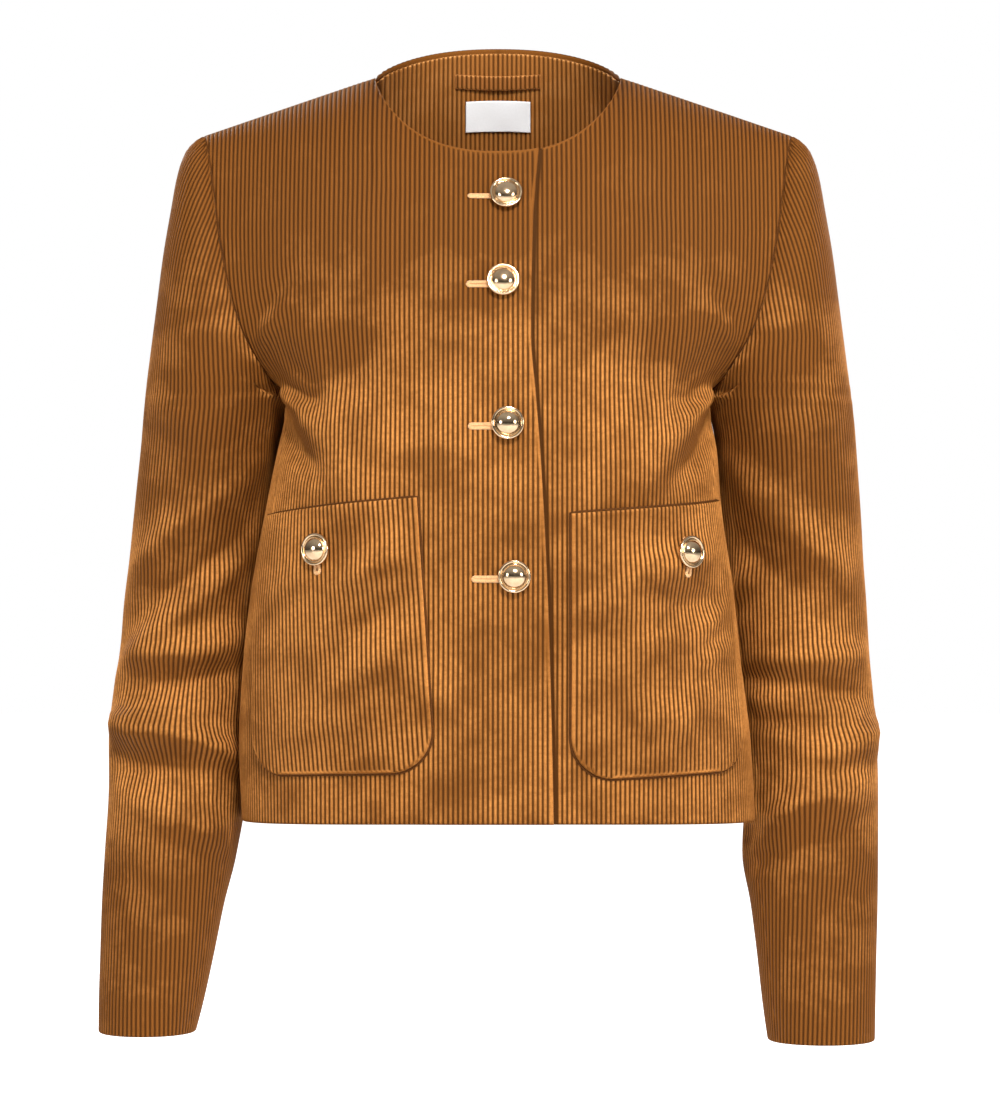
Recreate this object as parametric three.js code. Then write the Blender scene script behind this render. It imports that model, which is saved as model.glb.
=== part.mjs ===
// A short, collarless corduroy jacket, filled out as if worn, with no wearer in it.
// Millimetres, +Z up, -Y is the front and +X is the wearer's left.
// The origin lies midway between the neck ends of the two shoulder seams.
//
// Cloth is worked out on a fabric grid: "across" is the distance along a section, from the
// centre line of the body or from the outer line of a sleeve, and "level" counts up from the hem.

import * as THREE from 'three';

// Cloth
const WALL = 1.8;
const SEAM_GAP = 0.3;
const LAID_GAP = 0.8;
const POCKET_GAP = 1.7;

// Body: heights and reach of the main lines
const HEM_HEIGHT = -526;
const HEM_RISE_AT_CENTRE = 3;
const NECK_HALF_WIDTH = 87;
const FRONT_NECK = { drop: 60, reach: 84, roundness: 2.5, fall: 1.75 };
const BACK_NECK = { drop: -28, reach: 66, roundness: 2.2, fall: 1.3 };
const SHOULDER_HALF_WIDTH = 209;
const SHOULDER_SLOPE = 0.341;
const NECK_LEAN = 0.25;

// Levels on the fabric grid
const UNDERARM_LEVEL = 299;
const YOKE_LEVEL = 420;
const SHOULDER_LEVEL = 510;
const CUFF_LEVEL = { right: -150, left: -156 };

// Front opening: the right front laps over the left front
const LAP_RAISE = 2.7;
const LAP_RAMP = { from: 26, to: 68 };
const UNDERLAP = 26;

// Metal buttons
const BUTTON_SIDES = 14;
const BUTTON_LIFT = 0.3;

// Sections of the body, one row for each level. Depths are measured from the shoulder seams:
// centre at the middle of the front or back, side and sideDepth at the side line or, above the
// underarm, at the armhole. turn is the angle there, hold is how long the curve keeps it, and
// full is the share of the reach for which it keeps straight on at the centre.
const FRONT_SECTIONS = table(
  ['level', 'centre', 'full', 'sideRight', 'sideLeft', 'sideDepth', 'sideHeight', 'turn', 'hold'],
  [
    [0, 122, 0.62, 181, 182, 14, -526, 90, 66],
    [56, 123, 0.62, 183, 178.5, 14, -470, 90, 66],
    [113, 125, 0.63, 180, 171.5, 14, -413, 90, 68],
    [165, 127, 0.64, 174, 166, 13, -361, 90, 70],
    [221, 130, 0.66, 164, 158, 10, -305, 90, 73],
    [262, 130, 0.69, 156, 155, 4, -264, 90, 77],
    [288, 128.8, 0.71, 150, 149.5, -2, -238, 90, 80],
    [299, 128, 0.715, 147, 146.5, -2, -227, 90, 81],
    [311, 127, 0.66, 157, 155, 28, -218.5, 68, 50],
    [329, 124, 0.62, 168, 166, 48, -202, 50, 42],
    [352, 120, 0.6, 179, 178, 56, -180, 41, 48],
    [384, 112, 0.6, 188, 188, 54, -150, 32, 52],
    [420, 101, 0.6, 195, 195.5, 45, -114, 28, 58],
  ],
);

const BACK_SECTIONS = table(
  ['level', 'centre', 'full', 'sideRight', 'sideLeft', 'sideDepth', 'sideHeight', 'turn', 'hold'],
  [
    [0, 113, 0.62, 181, 182, -14, -526, 90, 62],
    [56, 109, 0.62, 183, 178.5, -14, -470, 90, 62],
    [113, 106, 0.62, 180, 171.5, -14, -413, 90, 60],
    [165, 105, 0.63, 174, 166, -13, -361, 90, 60],
    [221, 108, 0.65, 164, 158, -10, -305, 90, 62],
    [262, 112, 0.68, 156, 155, -4, -264, 90, 66],
    [288, 113.5, 0.72, 150, 149.5, 2, -238, 90, 73],
    [299, 114, 0.74, 147, 146.5, 2, -227, 90, 76],
    [311, 116, 0.66, 158, 156, 32, -218.5, 68, 44],
    [329, 117, 0.62, 171, 169, 50, -202, 50, 40],
    [352, 117, 0.6, 182, 181, 57, -180, 42, 46],
    [384, 115, 0.6, 190, 190, 55, -150, 33, 52],
    [420, 110, 0.6, 196, 196.5, 46, -114, 28, 58],
  ],
);

// Sections of the sleeves below the underarm: outer and inner reach, depth of the middle
// (towards the back) and half the depth of the tube.
const RIGHT_SLEEVE = table(
  ['level', 'outer', 'inner', 'middle', 'halfDepth'],
  [
    [-150, 283, 214, -6, 44],
    [-129, 283, 208.7, -3, 45],
    [-95, 282.6, 201.6, 4, 46],
    [-61, 282, 195, 10, 47],
    [-26, 280.5, 186.5, 16, 49],
    [25, 278, 179.5, 22, 50],
    [56, 278.5, 179.5, 26, 51],
    [84, 276, 178, 28, 52],
    [117, 271, 174.8, 30, 52],
    [155, 267.7, 170.7, 31, 53],
    [184, 264, 167.1, 30, 54],
    [212, 261, 163.3, 28, 55],
    [240, 257.7, 159.9, 23, 56],
    [269, 254, 155.8, 15, 57],
    [288, 252, 151.8, 7, 57],
    [299, 250.6, 147, 2, 57],
  ],
);

const LEFT_SLEEVE = table(
  ['level', 'outer', 'inner', 'middle', 'halfDepth'],
  [
    [-156, 267, 191, -6, 44],
    [-129, 267.7, 187.4, -3, 45],
    [-95, 269, 184, 5, 46],
    [-61, 270.5, 180, 13, 47],
    [-26, 271.5, 174.5, 21, 49],
    [25, 272, 177, 27, 50],
    [56, 271, 174.5, 29, 51],
    [84, 269, 170.6, 30, 52],
    [117, 266, 166.3, 31, 52],
    [155, 263.8, 163.8, 31, 53],
    [184, 261.6, 160.9, 30, 54],
    [212, 260, 157.3, 28, 55],
    [240, 257.7, 156, 23, 56],
    [269, 255, 155.2, 15, 57],
    [288, 253, 151.4, 7, 57],
    [299, 252, 146.5, 2, 57],
  ],
);

// Sleeve cap, from the underarm to the shoulder point: height of the outer line, how long the
// curve keeps the outer line's direction and the armhole's, and the angle at the armhole.
const SLEEVE_CAP = table(
  ['level', 'outerHeight', 'outerHold', 'edgeHold', 'edgeTurn'],
  [
    [299, -227, 76, 76, 90],
    [311, -219, 72, 44, 72],
    [329, -204, 65, 31, 56],
    [352, -184, 59, 27, 44],
    [384, -157, 51, 24, 38],
    [420, -122, 43, 22, 35],
    [450, -90, 34, 17, 32],
    [480, -62, 20, 10, 30],
    [498, -49.5, 8, 4, 30],
    [510, -41.6, 0.5, 0.5, 30],
  ],
);

const CAP_REACH = table(
  ['level', 'reach'],
  [
    [-229, 251],
    [-195, 246.5],
    [-161, 242],
    [-127, 237.5],
    [-92, 231.5],
    [-75, 228.5],
    [-58, 223.5],
    [-50, 219],
    [-46, 215],
    [-41.6, 209],
  ],
);

// Seams: distance from the side line or inner line, up to the level where the seam meets the armhole.
const FRONT_SEAM = table(
  ['level', 'inset'],
  [[0, 55], [113, 52], [221, 42], [299, 27], [312, 12], [321, 0]],
);
const BACK_SEAM = table(['level', 'inset'], [[0, 60], [113, 56], [221, 50], [299, 34], [315, 14], [327, 0]]);
const SLEEVE_FRONT_SEAM = table(['level', 'inset'], [[-156, 24], [0, 28], [299, 33], [318, 15], [333, 0]]);
const SLEEVE_BACK_SEAM = table(['level', 'inset'], [[-156, 48], [0, 54], [299, 60], [325, 34], [352, 0]]);

// Edge of the lap: distance past the centre line.
const LAP_EDGE = table(
  ['level', 'past'],
  [[0, 38], [56, 37], [110, 35.5], [165, 33.5], [251, 29], [290, 26], [336, 22.5], [395, 23.5], [510, 28]],
);

// Folds: a soft ridge (or trough, where height is negative) between two places on the fabric
// grid. On the body "across" is counted from the centre line, positive on the wearer's left.
const FOLD_COLUMNS = ['across0', 'level0', 'across1', 'level1', 'width', 'height'];
const FRONT_FOLDS = folds([
  [-205, 318, -118, 262, 11, 6.5],
  [-196, 284, -120, 236, 10, -5],
  [-150, 352, -105, 262, 15, 3.6],
  [206, 316, 112, 256, 11, 6.5],
  [196, 282, 118, 228, 10, -5],
  [150, 352, 100, 262, 15, 3.6],
  [-128, 300, -96, 200, 26, 4.5],
  [122, 300, 92, 200, 26, 4.5],
  [176, 196, 66, 154, 10, 3.5],
  [190, 164, 92, 130, 10, -3.1],
  [-52, 196, -120, 158, 9, 3.4],
  [-48, 158, -112, 128, 9, -3],
  [-22, 250, -34, 60, 13, -2.6],
  [66, 250, 52, 40, 13, 2.6],
  [-92, 240, -84, 10, 20, 2.4],
  [112, 200, 100, 10, 20, 1.8],
]);
const BACK_FOLDS = folds([
  [-196, 312, -110, 262, 12, 6],
  [-188, 282, -112, 232, 11, -4.5],
  [196, 314, 106, 254, 12, 6],
  [190, 280, 116, 238, 11, -4.5],
  [-140, 372, -118, 270, 18, 4],
  [142, 366, 112, 268, 18, 4],
  [-92, 176, 88, 190, 14, -4],
  [-110, 140, 104, 148, 14, 3.2],
  [-60, 118, -72, 16, 20, 3.4],
  [56, 122, 74, 10, 20, 3.4],
]);

// On a sleeve "across" is counted from the outer line, negative towards the front.
const RIGHT_SLEEVE_FOLDS = folds([
  [-150, 268, -18, 168, 11, 5],
  [-142, 226, -8, 118, 11, -4.5],
  [-138, 196, -6, 92, 10, 4.2],
  [-140, 132, -26, 112, 9, 4.6],
  [-142, 106, -34, 92, 9, -6],
  [-12, 66, -104, 60, 11, 8.5],
  [-70, 66, -150, 36, 10, 7.5],
  [-18, 38, -110, 30, 10, -6.5],
  [-60, 6, -134, -12, 10, 4.6],
  [-24, -30, -96, -70, 14, -3],
  [26, 150, 138, 110, 12, 5.5],
  [20, 112, 132, 84, 12, -5.5],
  [14, 74, 128, 62, 12, 6.5],
  [30, 22, 120, 30, 13, -4.5],
  [40, 250, 150, 180, 14, 4],
]);
const LEFT_SLEEVE_FOLDS = folds([
  [-146, 262, -30, 158, 12, 4.5],
  [-150, 216, -70, 150, 11, -4],
  [-14, 118, -128, 110, 8, 5],
  [-16, 86, -148, 98, 9, -6.5],
  [0, 66, -96, 46, 10, 8],
  [-16, 34, -146, -4, 12, 7.5],
  [-92, 22, -150, -18, 10, -5.5],
  [-120, 176, -156, 140, 9, 4.5],
  [-20, -36, -90, -84, 14, -3],
  [22, 144, 140, 118, 12, 5.5],
  [18, 108, 132, 88, 12, -5.5],
  [10, 66, 126, 58, 12, 6],
  [36, 26, 122, 20, 13, -4.5],
  [44, 246, 148, 186, 14, 4],
]);

// Pockets: corners on the fabric grid, wales parallel to the sides, bottom corners rounded.
const POCKET_CORNER = 30;
const POCKET_ROWS = 12;
const POCKET_COLUMNS = 9;
// How much closer together the rows are at the rounded bottom
const POCKET_CROWDING = 0.35;
const POCKETS = {
  right: { topInner: [55, 224], topOuter: [196, 214], bottomInner: [43, 36], bottomOuter: [186, 34] },
  left: { topInner: [50, 213], topOuter: [190, 225], bottomInner: [50, 30], bottomOuter: [192, 38] },
};

// Places of the buttons on the fabric grid
const FRONT_BUTTONS = [
  { across: 5.5, level: 443 },
  { across: 3.5, level: 371 },
  { across: 6.5, level: 274 },
  { across: 11, level: 170 },
];
const POCKET_BUTTONS = { right: { along: 0.52, below: 30 }, left: { along: 0.6, below: 32 } };

// Inside the back neck
const ON_FACING = -2 * WALL - 2 * LAID_GAP;
const LOOP = { halfLength: 32, height: 9, below: 17, sag: 2.5, thickness: 1.4, columns: 8 };
const LABEL = { halfWidth: 24, height: 23, below: 37, thickness: 0.8, rows: 2, columns: 6 };

const CLOTH = new THREE.MeshStandardMaterial({ color: 0x9a5f2a, roughness: 0.9, metalness: 0 });
const LABEL_CLOTH = new THREE.MeshStandardMaterial({ color: 0xf4f3ef, roughness: 0.6, metalness: 0 });
const METAL = new THREE.MeshStandardMaterial({ color: 0xe2c08e, roughness: 0.15, metalness: 1 });

const RIGHT = {
  name: 'right', sign: -1, column: 'sideRight', sleeve: RIGHT_SLEEVE, folds: RIGHT_SLEEVE_FOLDS,
};
const LEFT = {
  name: 'left', sign: 1, column: 'sideLeft', sleeve: LEFT_SLEEVE, folds: LEFT_SLEEVE_FOLDS,
};
const FRONT = { sign: -1, sections: FRONT_SECTIONS, folds: FRONT_FOLDS, neck: FRONT_NECK, lean: 0.28 };
const BACK = { sign: 1, sections: BACK_SECTIONS, folds: BACK_FOLDS, neck: BACK_NECK, lean: 0.19 };

// Reading the tables

// Between the rows of a table every column follows a smooth curve that never overshoots them.
function table(columns, rows) {
  const rise = (i, c) => (rows[i + 1][c] - rows[i][c]) / (rows[i + 1][0] - rows[i][0]);
  const slope = (i, c) => {
    if (i === 0) return rise(0, c);
    if (i === rows.length - 1) return rise(i - 1, c);
    const [before, after] = [rise(i - 1, c), rise(i, c)];
    return before * after > 0 ? (2 * before * after) / (before + after) : 0;
  };
  return (level) => {
    const at = Math.min(Math.max(level, rows[0][0]), rows[rows.length - 1][0]);
    let i = 0;
    while (i < rows.length - 2 && rows[i + 1][0] < at) i += 1;
    const step = rows[i + 1][0] - rows[i][0];
    const t = (at - rows[i][0]) / step;
    const result = {};
    columns.forEach((column, c) => {
      result[column] = hermite(rows[i][c], slope(i, c) * step, rows[i + 1][c], slope(i + 1, c) * step, t);
    });
    return result;
  };
}

function folds(rows) {
  return rows.map((row) => Object.fromEntries(FOLD_COLUMNS.map((column, c) => [column, row[c]])));
}

function hermite(a, slopeA, b, slopeB, t) {
  const t2 = t * t;
  const t3 = t2 * t;
  return (2 * t3 - 3 * t2 + 1) * a + (t3 - 2 * t2 + t) * slopeA + (3 * t2 - 2 * t3) * b + (t3 - t2) * slopeB;
}

function mix(a, b, t) {
  return a + (b - a) * t;
}

function smoothstep(from, to, value) {
  const t = Math.min(Math.max((value - from) / (to - from), 0), 1);
  return t * t * (3 - 2 * t);
}

function radians(degrees) {
  return (degrees * Math.PI) / 180;
}

// Height of all folds at one place on the fabric grid
function foldHeight(list, across, level) {
  let height = 0;
  for (const fold of list) {
    const runAcross = fold.across1 - fold.across0;
    const runLevel = fold.level1 - fold.level0;
    const length = Math.hypot(runAcross, runLevel);
    const offAcross = across - fold.across0;
    const offLevel = level - fold.level0;
    const along = (offAcross * runAcross + offLevel * runLevel) / (length * length);
    if (along > 0 && along < 1) {
      const away = (offAcross * runLevel - offLevel * runAcross) / length / fold.width;
      height += fold.height * Math.sin(Math.PI * along) * Math.exp(-away * away);
    }
  }
  return height;
}

// Sections

const CURVE_STEPS = 32;
// A cubic curve whose end directions reach 4/3 of the depth bulges by that depth.
const BULGE = 4 / 3;
const CAP_MIDDLE = 2;
const CAP_OVERRUN = 1.2;

// A plane curve through four control points, read by its length and continued straight at its end.
function section(controls) {
  const curve = new THREE.CubicBezierCurve(...controls.map(([x, y]) => new THREE.Vector2(x, y)));
  const points = curve.getPoints(CURVE_STEPS);
  const lengths = [0];
  for (let i = 1; i <= CURVE_STEPS; i += 1) {
    lengths.push(lengths[i - 1] + points[i].distanceTo(points[i - 1]));
  }
  const length = lengths[CURVE_STEPS];
  const end = curve.getTangent(1);
  const at = (distance) => {
    if (distance >= length) return points[CURVE_STEPS].clone().addScaledVector(end, distance - length);
    let i = 0;
    while (i < CURVE_STEPS - 1 && lengths[i + 1] < distance) i += 1;
    return curve.getPoint((i + (distance - lengths[i]) / (lengths[i + 1] - lengths[i])) / CURVE_STEPS);
  };
  return { length, at };
}

function remembered(make) {
  const known = new Map();
  return (...key) => {
    const words = key.map((part) => (typeof part === 'number' ? part.toFixed(5) : part.name || part.sign));
    const name = words.join();
    if (!known.has(name)) known.set(name, make(...key));
    return known.get(name);
  };
}

// Half a section of the body in plan, from the centre line to the side line or armhole
const bodySection = remembered((side, half, level) => {
  const row = half.sections(Math.min(level, YOKE_LEVEL));
  const reach = row[side.column];
  const turn = radians(row.turn);
  const centre = [0, half.sign * row.centre];
  const edge = [reach, half.sign * row.sideDepth];
  const inward = [-Math.cos(turn) * row.hold, half.sign * Math.sin(turn) * row.hold];
  const plan = section([
    centre,
    [row.full * reach, centre[1]],
    [edge[0] + inward[0], edge[1] + inward[1]],
    edge,
  ]);
  return { ...plan, reach, turn, sideHeight: row.sideHeight };
});

// Top edge of a front or back above a distance from the centre: neckline, then shoulder seam
function topEdge(half, reach) {
  const { drop, reach: depth, roundness, fall } = half.neck;
  if (reach >= NECK_HALF_WIDTH) {
    return { y: 0, z: -SHOULDER_SLOPE * (reach - NECK_HALF_WIDTH), lean: 1 };
  }
  const t = reach / NECK_HALF_WIDTH;
  const round = (1 - t ** roundness) ** (1 / roundness);
  return { y: half.sign * depth * round, z: -drop * round ** fall, lean: mix(NECK_LEAN, 1, t ** 3) };
}

// The cloth turns softly where the tube of the body or sleeve gives way to the armhole: there a
// place is the mean of the places a little below and above it, away from the seam itself.
const SOFT = { level: 301, spread: 20, from: 4, to: 36, reach: 12 };
const SOFT_SHARES = [[-1, 0.25], [0, 0.5], [1, 0.25]];

function softened(surface, edge) {
  return (side, half, across, level) => {
    const place = surface(side, half, across, level);
    const near = Math.exp(-(((level - SOFT.level) / SOFT.spread) ** 2));
    if (near < 0.01) return place;
    const inside = Math.min(edge(side, half, level), edge(side, half, level + SOFT.reach)) - across;
    const share = near * smoothstep(SOFT.from, SOFT.to, inside);
    if (share === 0) return place;
    const mean = new THREE.Vector3();
    for (const [step, part] of SOFT_SHARES) {
      mean.addScaledVector(surface(side, half, across, level + step * SOFT.reach), part);
    }
    return place.lerp(mean, share);
  };
}

function firmBodySurface(side, half, across, level) {
  const plan = bodySection(side, half, level);
  const place = plan.at(across);
  const centreHeight = HEM_HEIGHT + HEM_RISE_AT_CENTRE + Math.min(level, YOKE_LEVEL);
  const z = mix(centreHeight, plan.sideHeight, (place.x / plan.reach) ** 2);
  if (level <= YOKE_LEVEL) return new THREE.Vector3(side.sign * place.x, place.y, z);
  const t = (level - YOKE_LEVEL) / (SHOULDER_LEVEL - YOKE_LEVEL);
  const top = topEdge(half, place.x);
  const chord = Math.hypot(top.y - place.y, top.z - z);
  const start = { y: -half.sign * half.lean * chord, z: Math.sqrt(1 - half.lean ** 2) * chord };
  const end = { y: -half.sign * top.lean * chord, z: Math.sqrt(1 - top.lean ** 2) * chord };
  return new THREE.Vector3(
    side.sign * place.x,
    hermite(place.y, start.y, top.y, end.y, t),
    hermite(z, start.z, top.z, end.z, t),
  );
}

// Distance from the centre line to the side line or, above the underarm, to the armhole
function bodyEdge(side, half, level) {
  const plan = bodySection(side, half, level);
  if (level <= YOKE_LEVEL) return plan.length;
  const t = (level - YOKE_LEVEL) / (SHOULDER_LEVEL - YOKE_LEVEL);
  return plan.length + (t * (SHOULDER_HALF_WIDTH - plan.reach)) / Math.cos(plan.turn);
}

const bodySurface = softened(firmBodySurface, bodyEdge);

// Half a section of a sleeve in plan, from the outer line to the inner line or armhole
const sleeveSection = remembered((side, half, level) => {
  if (level <= UNDERARM_LEVEL) {
    const row = side.sleeve(level);
    const hold = half.sign * row.halfDepth * BULGE;
    const plan = section([
      [row.outer, row.middle],
      [row.outer, row.middle + hold],
      [row.inner, row.middle + hold],
      [row.inner, row.middle],
    ]);
    return { ...plan, outerHeight: HEM_HEIGHT + level, edgeHeight: HEM_HEIGHT + level };
  }
  const row = SLEEVE_CAP(level);
  const edge = bodyPoint(side, half, bodyEdge(side, half, level), level);
  const outer = CAP_REACH(row.outerHeight).reach;
  const inner = edge.x * side.sign;
  const middle = mix(CAP_MIDDLE, 0, (level - UNDERARM_LEVEL) / (SHOULDER_LEVEL - UNDERARM_LEVEL));
  const turn = radians(row.edgeTurn);
  const plan = section([
    [outer, middle],
    [outer, middle + half.sign * row.outerHold],
    [inner + row.edgeHold * Math.cos(turn), edge.y + half.sign * row.edgeHold * Math.sin(turn)],
    [inner, edge.y],
  ]);
  return { ...plan, outerHeight: row.outerHeight, edgeHeight: edge.z };
});

function sleeveEdge(side, half, level) {
  return sleeveSection(side, half, level).length;
}

function firmSleeveSurface(side, half, across, level) {
  const plan = sleeveSection(side, half, level);
  const place = plan.at(across);
  const z = mix(plan.outerHeight, plan.edgeHeight, Math.min(across / plan.length, CAP_OVERRUN));
  return new THREE.Vector3(side.sign * place.x, place.y, z);
}

const sleeveSurface = softened(firmSleeveSurface, sleeveEdge);

// Surfaces with their folds

const NORMAL_STEP = 0.5;
// Folds die away over these distances from an armhole, side line or inner line.
const CALM = { body: 22, sleeve: 16 };
const SHOULDER_TIP = 3;

function normalOf(surface, turned, side, half, across, level) {
  const low = level - NORMAL_STEP;
  const high = Math.min(level + NORMAL_STEP, SHOULDER_LEVEL);
  const left = surface(side, half, Math.max(across - NORMAL_STEP, 0), level);
  const right = surface(side, half, across + NORMAL_STEP, level);
  const below = surface(side, half, across, low);
  const above = surface(side, half, across, high);
  const normal = right.sub(left).cross(above.sub(below)).normalize();
  return normal.multiplyScalar(turned * side.sign * half.sign);
}

function other(side) {
  return side === RIGHT ? LEFT : RIGHT;
}

function bodyPoint(side, half, across, level) {
  if (across < 0) return bodyPoint(other(side), half, -across, level);
  const edge = bodyEdge(side, half, level);
  const calm = smoothstep(0, CALM.body, edge - across) * smoothstep(SHOULDER_LEVEL, YOKE_LEVEL, level);
  const height = calm * foldHeight(half.folds, side.sign * across, level);
  const normal = normalOf(bodySurface, -1, side, half, across, level);
  return bodySurface(side, half, across, level).addScaledVector(normal, height);
}

function bodyNormal(side, half, across, level) {
  if (across < 0) return bodyNormal(other(side), half, -across, level);
  return normalOf(bodyPoint, -1, side, half, across, level);
}

function sleevePoint(side, half, across, level) {
  const cap = smoothstep(SHOULDER_LEVEL, YOKE_LEVEL, level);
  const edge = sleeveEdge(side, half, level);
  const calm = cap * smoothstep(0, CALM.sleeve, edge - across);
  const height = calm * foldHeight(side.folds, half.sign * across, level);
  const normal = normalOf(sleeveSurface, 1, side, half, across, level);
  return sleeveSurface(side, half, across, level).addScaledVector(normal, height);
}

function sleeveNormal(side, half, across, level) {
  return normalOf(sleevePoint, 1, side, half, across, level);
}

// Where two pieces meet at the armhole both walls lean the same way, so that their inner edges match.
function armholeNormal(side, half, level, own) {
  const body = bodyNormal(side, half, bodyEdge(side, half, level), level);
  const sleeve = sleeveNormal(side, half, sleeveEdge(side, half, level), level);
  const share = smoothstep(-0.2, 0.5, body.dot(sleeve));
  const [mine, theirs] = own === 'body' ? [body, sleeve] : [sleeve, body];
  mine.addScaledVector(theirs, share);
  if (level > SHOULDER_LEVEL - SHOULDER_TIP) mine.y = 0;
  return mine.normalize();
}

// Closed walls

// A wall is one closed solid: an outer skin, the same skin moved inwards, and the edges between.
class Wall {
  constructor(thickness = WALL) {
    this.thickness = thickness;
    this.sites = [];
    this.faces = [];
    this.known = new Map();
  }

  site({ point, normal }) {
    const key = point.toArray().map((value) => Math.round(value * 50)).join();
    if (!this.known.has(key)) {
      this.known.set(key, this.sites.length);
      this.sites.push({ point, normal: normal.clone() });
    } else {
      this.sites[this.known.get(key)].normal.add(normal);
    }
    return this.known.get(key);
  }

  face(a, b, c) {
    if (a === b || b === c || c === a) return;
    const [p, q, r] = [a, b, c].map((i) => this.sites[i].point);
    const facing = q.clone().sub(p).cross(r.clone().sub(p));
    if (facing.length() < 1e-3) return;
    const normal = this.sites[a].normal.clone().add(this.sites[b].normal).add(this.sites[c].normal);
    this.faces.push(facing.dot(normal) > 0 ? [a, b, c] : [a, c, b]);
  }

  grid(rows) {
    const index = rows.map((row) => row.map((site) => this.site(site)));
    for (let i = 0; i + 1 < index.length; i += 1) {
      for (let j = 0; j + 1 < index[i].length; j += 1) {
        const [a, b, c, d] = [index[i][j], index[i][j + 1], index[i + 1][j + 1], index[i + 1][j]];
        if ((i + j) % 2) {
          this.face(a, b, c);
          this.face(a, c, d);
        } else {
          this.face(a, b, d);
          this.face(b, c, d);
        }
      }
    }
    return this;
  }

  geometry() {
    const count = this.sites.length;
    const outer = this.sites.map(({ point }) => point);
    const inner = this.sites.map(({ point, normal }) => (
      point.clone().addScaledVector(normal.clone().normalize(), -this.thickness)
    ));
    const used = new Set(this.faces.flatMap(([a, b, c]) => [`${a},${b}`, `${b},${c}`, `${c},${a}`]));
    const triangles = [];
    for (const [a, b, c] of this.faces) {
      triangles.push(a, b, c, a + count, c + count, b + count);
      for (const [from, to] of [[a, b], [b, c], [c, a]]) {
        if (!used.has(`${to},${from}`)) {
          triangles.push(to, from, from + count, to, from + count, to + count);
        }
      }
    }
    const geometry = new THREE.BufferGeometry();
    const positions = [...outer, ...inner].flatMap((point) => point.toArray());
    geometry.setAttribute('position', new THREE.Float32BufferAttribute(positions, 3));
    geometry.setIndex(triangles);
    return geometry;
  }
}

const jacket = new THREE.Group();
jacket.name = 'corduroy_jacket';

function add(name, geometry, material = CLOTH) {
  geometry.computeVertexNormals();
  const mesh = new THREE.Mesh(geometry, material);
  mesh.name = name;
  jacket.add(mesh);
}

function levels(from, to, count) {
  return Array.from({ length: count + 1 }, (_, i) => mix(from, to, i / count));
}

// The right front is raised where it laps over the left front.
function lapRaise(side, half, across) {
  if (side !== RIGHT || half !== FRONT) return 0;
  return LAP_RAISE * (1 - smoothstep(LAP_RAMP.from, LAP_RAMP.to, across));
}

// A place on a panel, moved out along its normal (or in, where away is negative)
function laidOn(side, half, across, level, away) {
  const normal = bodyNormal(side, half, across, level);
  const raise = lapRaise(side, half, across);
  return { point: bodyPoint(side, half, across, level).addScaledVector(normal, raise + away), normal };
}

// Rows of sites on the body, at the distances from the centre line that columns gives for each level
function bodyRows(side, half, heights, columns) {
  return heights.map((level) => columns(level).map((across) => {
    const { point, normal } = laidOn(side, half, across, level, 0);
    const atArmhole = level > UNDERARM_LEVEL && across > bodyEdge(side, half, level) - SEAM_GAP;
    return { point, normal: atArmhole ? armholeNormal(side, half, level, 'body') : normal };
  }));
}

function sleeveRows(side, half, heights, count, from, to) {
  return heights.map((level) => levels(from(level), to(level), count).map((across) => {
    const atArmhole = level > UNDERARM_LEVEL && across > sleeveEdge(side, half, level) - SEAM_GAP;
    const point = sleevePoint(side, half, across, level);
    if (atArmhole) return { point, normal: armholeNormal(side, half, level, 'sleeve') };
    return { point, normal: sleeveNormal(side, half, across, level) };
  }));
}

// Where a seam lies, less half the gap that two pieces keep between them. The gap is a little
// wider beside the underarm and at the shoulder point, where the walls twist.
const HALF_GAP = SEAM_GAP / 2;
const SPREADS = [
  { level: 303, width: 12, extra: 1.5 },
  { level: 508, width: 8, extra: 0.25 },
];

function seamLine(edge, seam, side, half, into) {
  return (level) => {
    const spread = SPREADS.map((row) => row.extra * Math.exp(-(((level - row.level) / row.width) ** 2)));
    const gap = HALF_GAP + spread[0] + spread[1];
    return edge(side, half, level) - seam(level).inset + into * gap;
  };
}

// Body pieces

const LOWER_STEPS = 13;
const SIDE_COLUMNS = 4;
const BACK_TIP_LEVEL = 325;
const LOWER_LEVELS = levels(0, UNDERARM_LEVEL, LOWER_STEPS);
const SCOOP_LEVELS = [305, 311, 319];
const ARMHOLE_LEVELS = [327, 340, 356, 376, 398, YOKE_LEVEL];
const YOKE_LEVELS = [433, 447, 461, 475, 489, 500];
const FACING_LEVELS = [...YOKE_LEVELS, 508];
const UPPER_LEVELS = [...ARMHOLE_LEVELS, ...YOKE_LEVELS, SHOULDER_LEVEL - HALF_GAP];
const FRONT_LEVELS = [...LOWER_LEVELS, ...SCOOP_LEVELS, ...UPPER_LEVELS];
const BACK_LEVELS = [...LOWER_LEVELS, ...SCOOP_LEVELS, BACK_TIP_LEVEL, ...UPPER_LEVELS];

// Shares of the way to the seam, closest together beside the neck
const PANEL_SHARES = [0, 0.08, 0.16, 0.23, 0.29, 0.34, 0.38, 0.44, 0.55, 0.7, 0.85, 1];
const FACING_COLUMNS = 8;

function panelColumns(side, half, seam) {
  const to = seamLine(bodyEdge, seam, side, half, -1);
  return (level) => PANEL_SHARES.map((share) => share * to(level));
}

function frontPanel(side) {
  const past = side === RIGHT ? (level) => LAP_EDGE(level).past : () => UNDERLAP;
  const columns = panelColumns(side, FRONT, FRONT_SEAM);
  const withLap = (level) => [-past(level), -past(level) / 2, ...columns(level)];
  add(`front_${side.name}`, new Wall().grid(bodyRows(side, FRONT, FRONT_LEVELS, withLap)).geometry());
}

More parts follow.
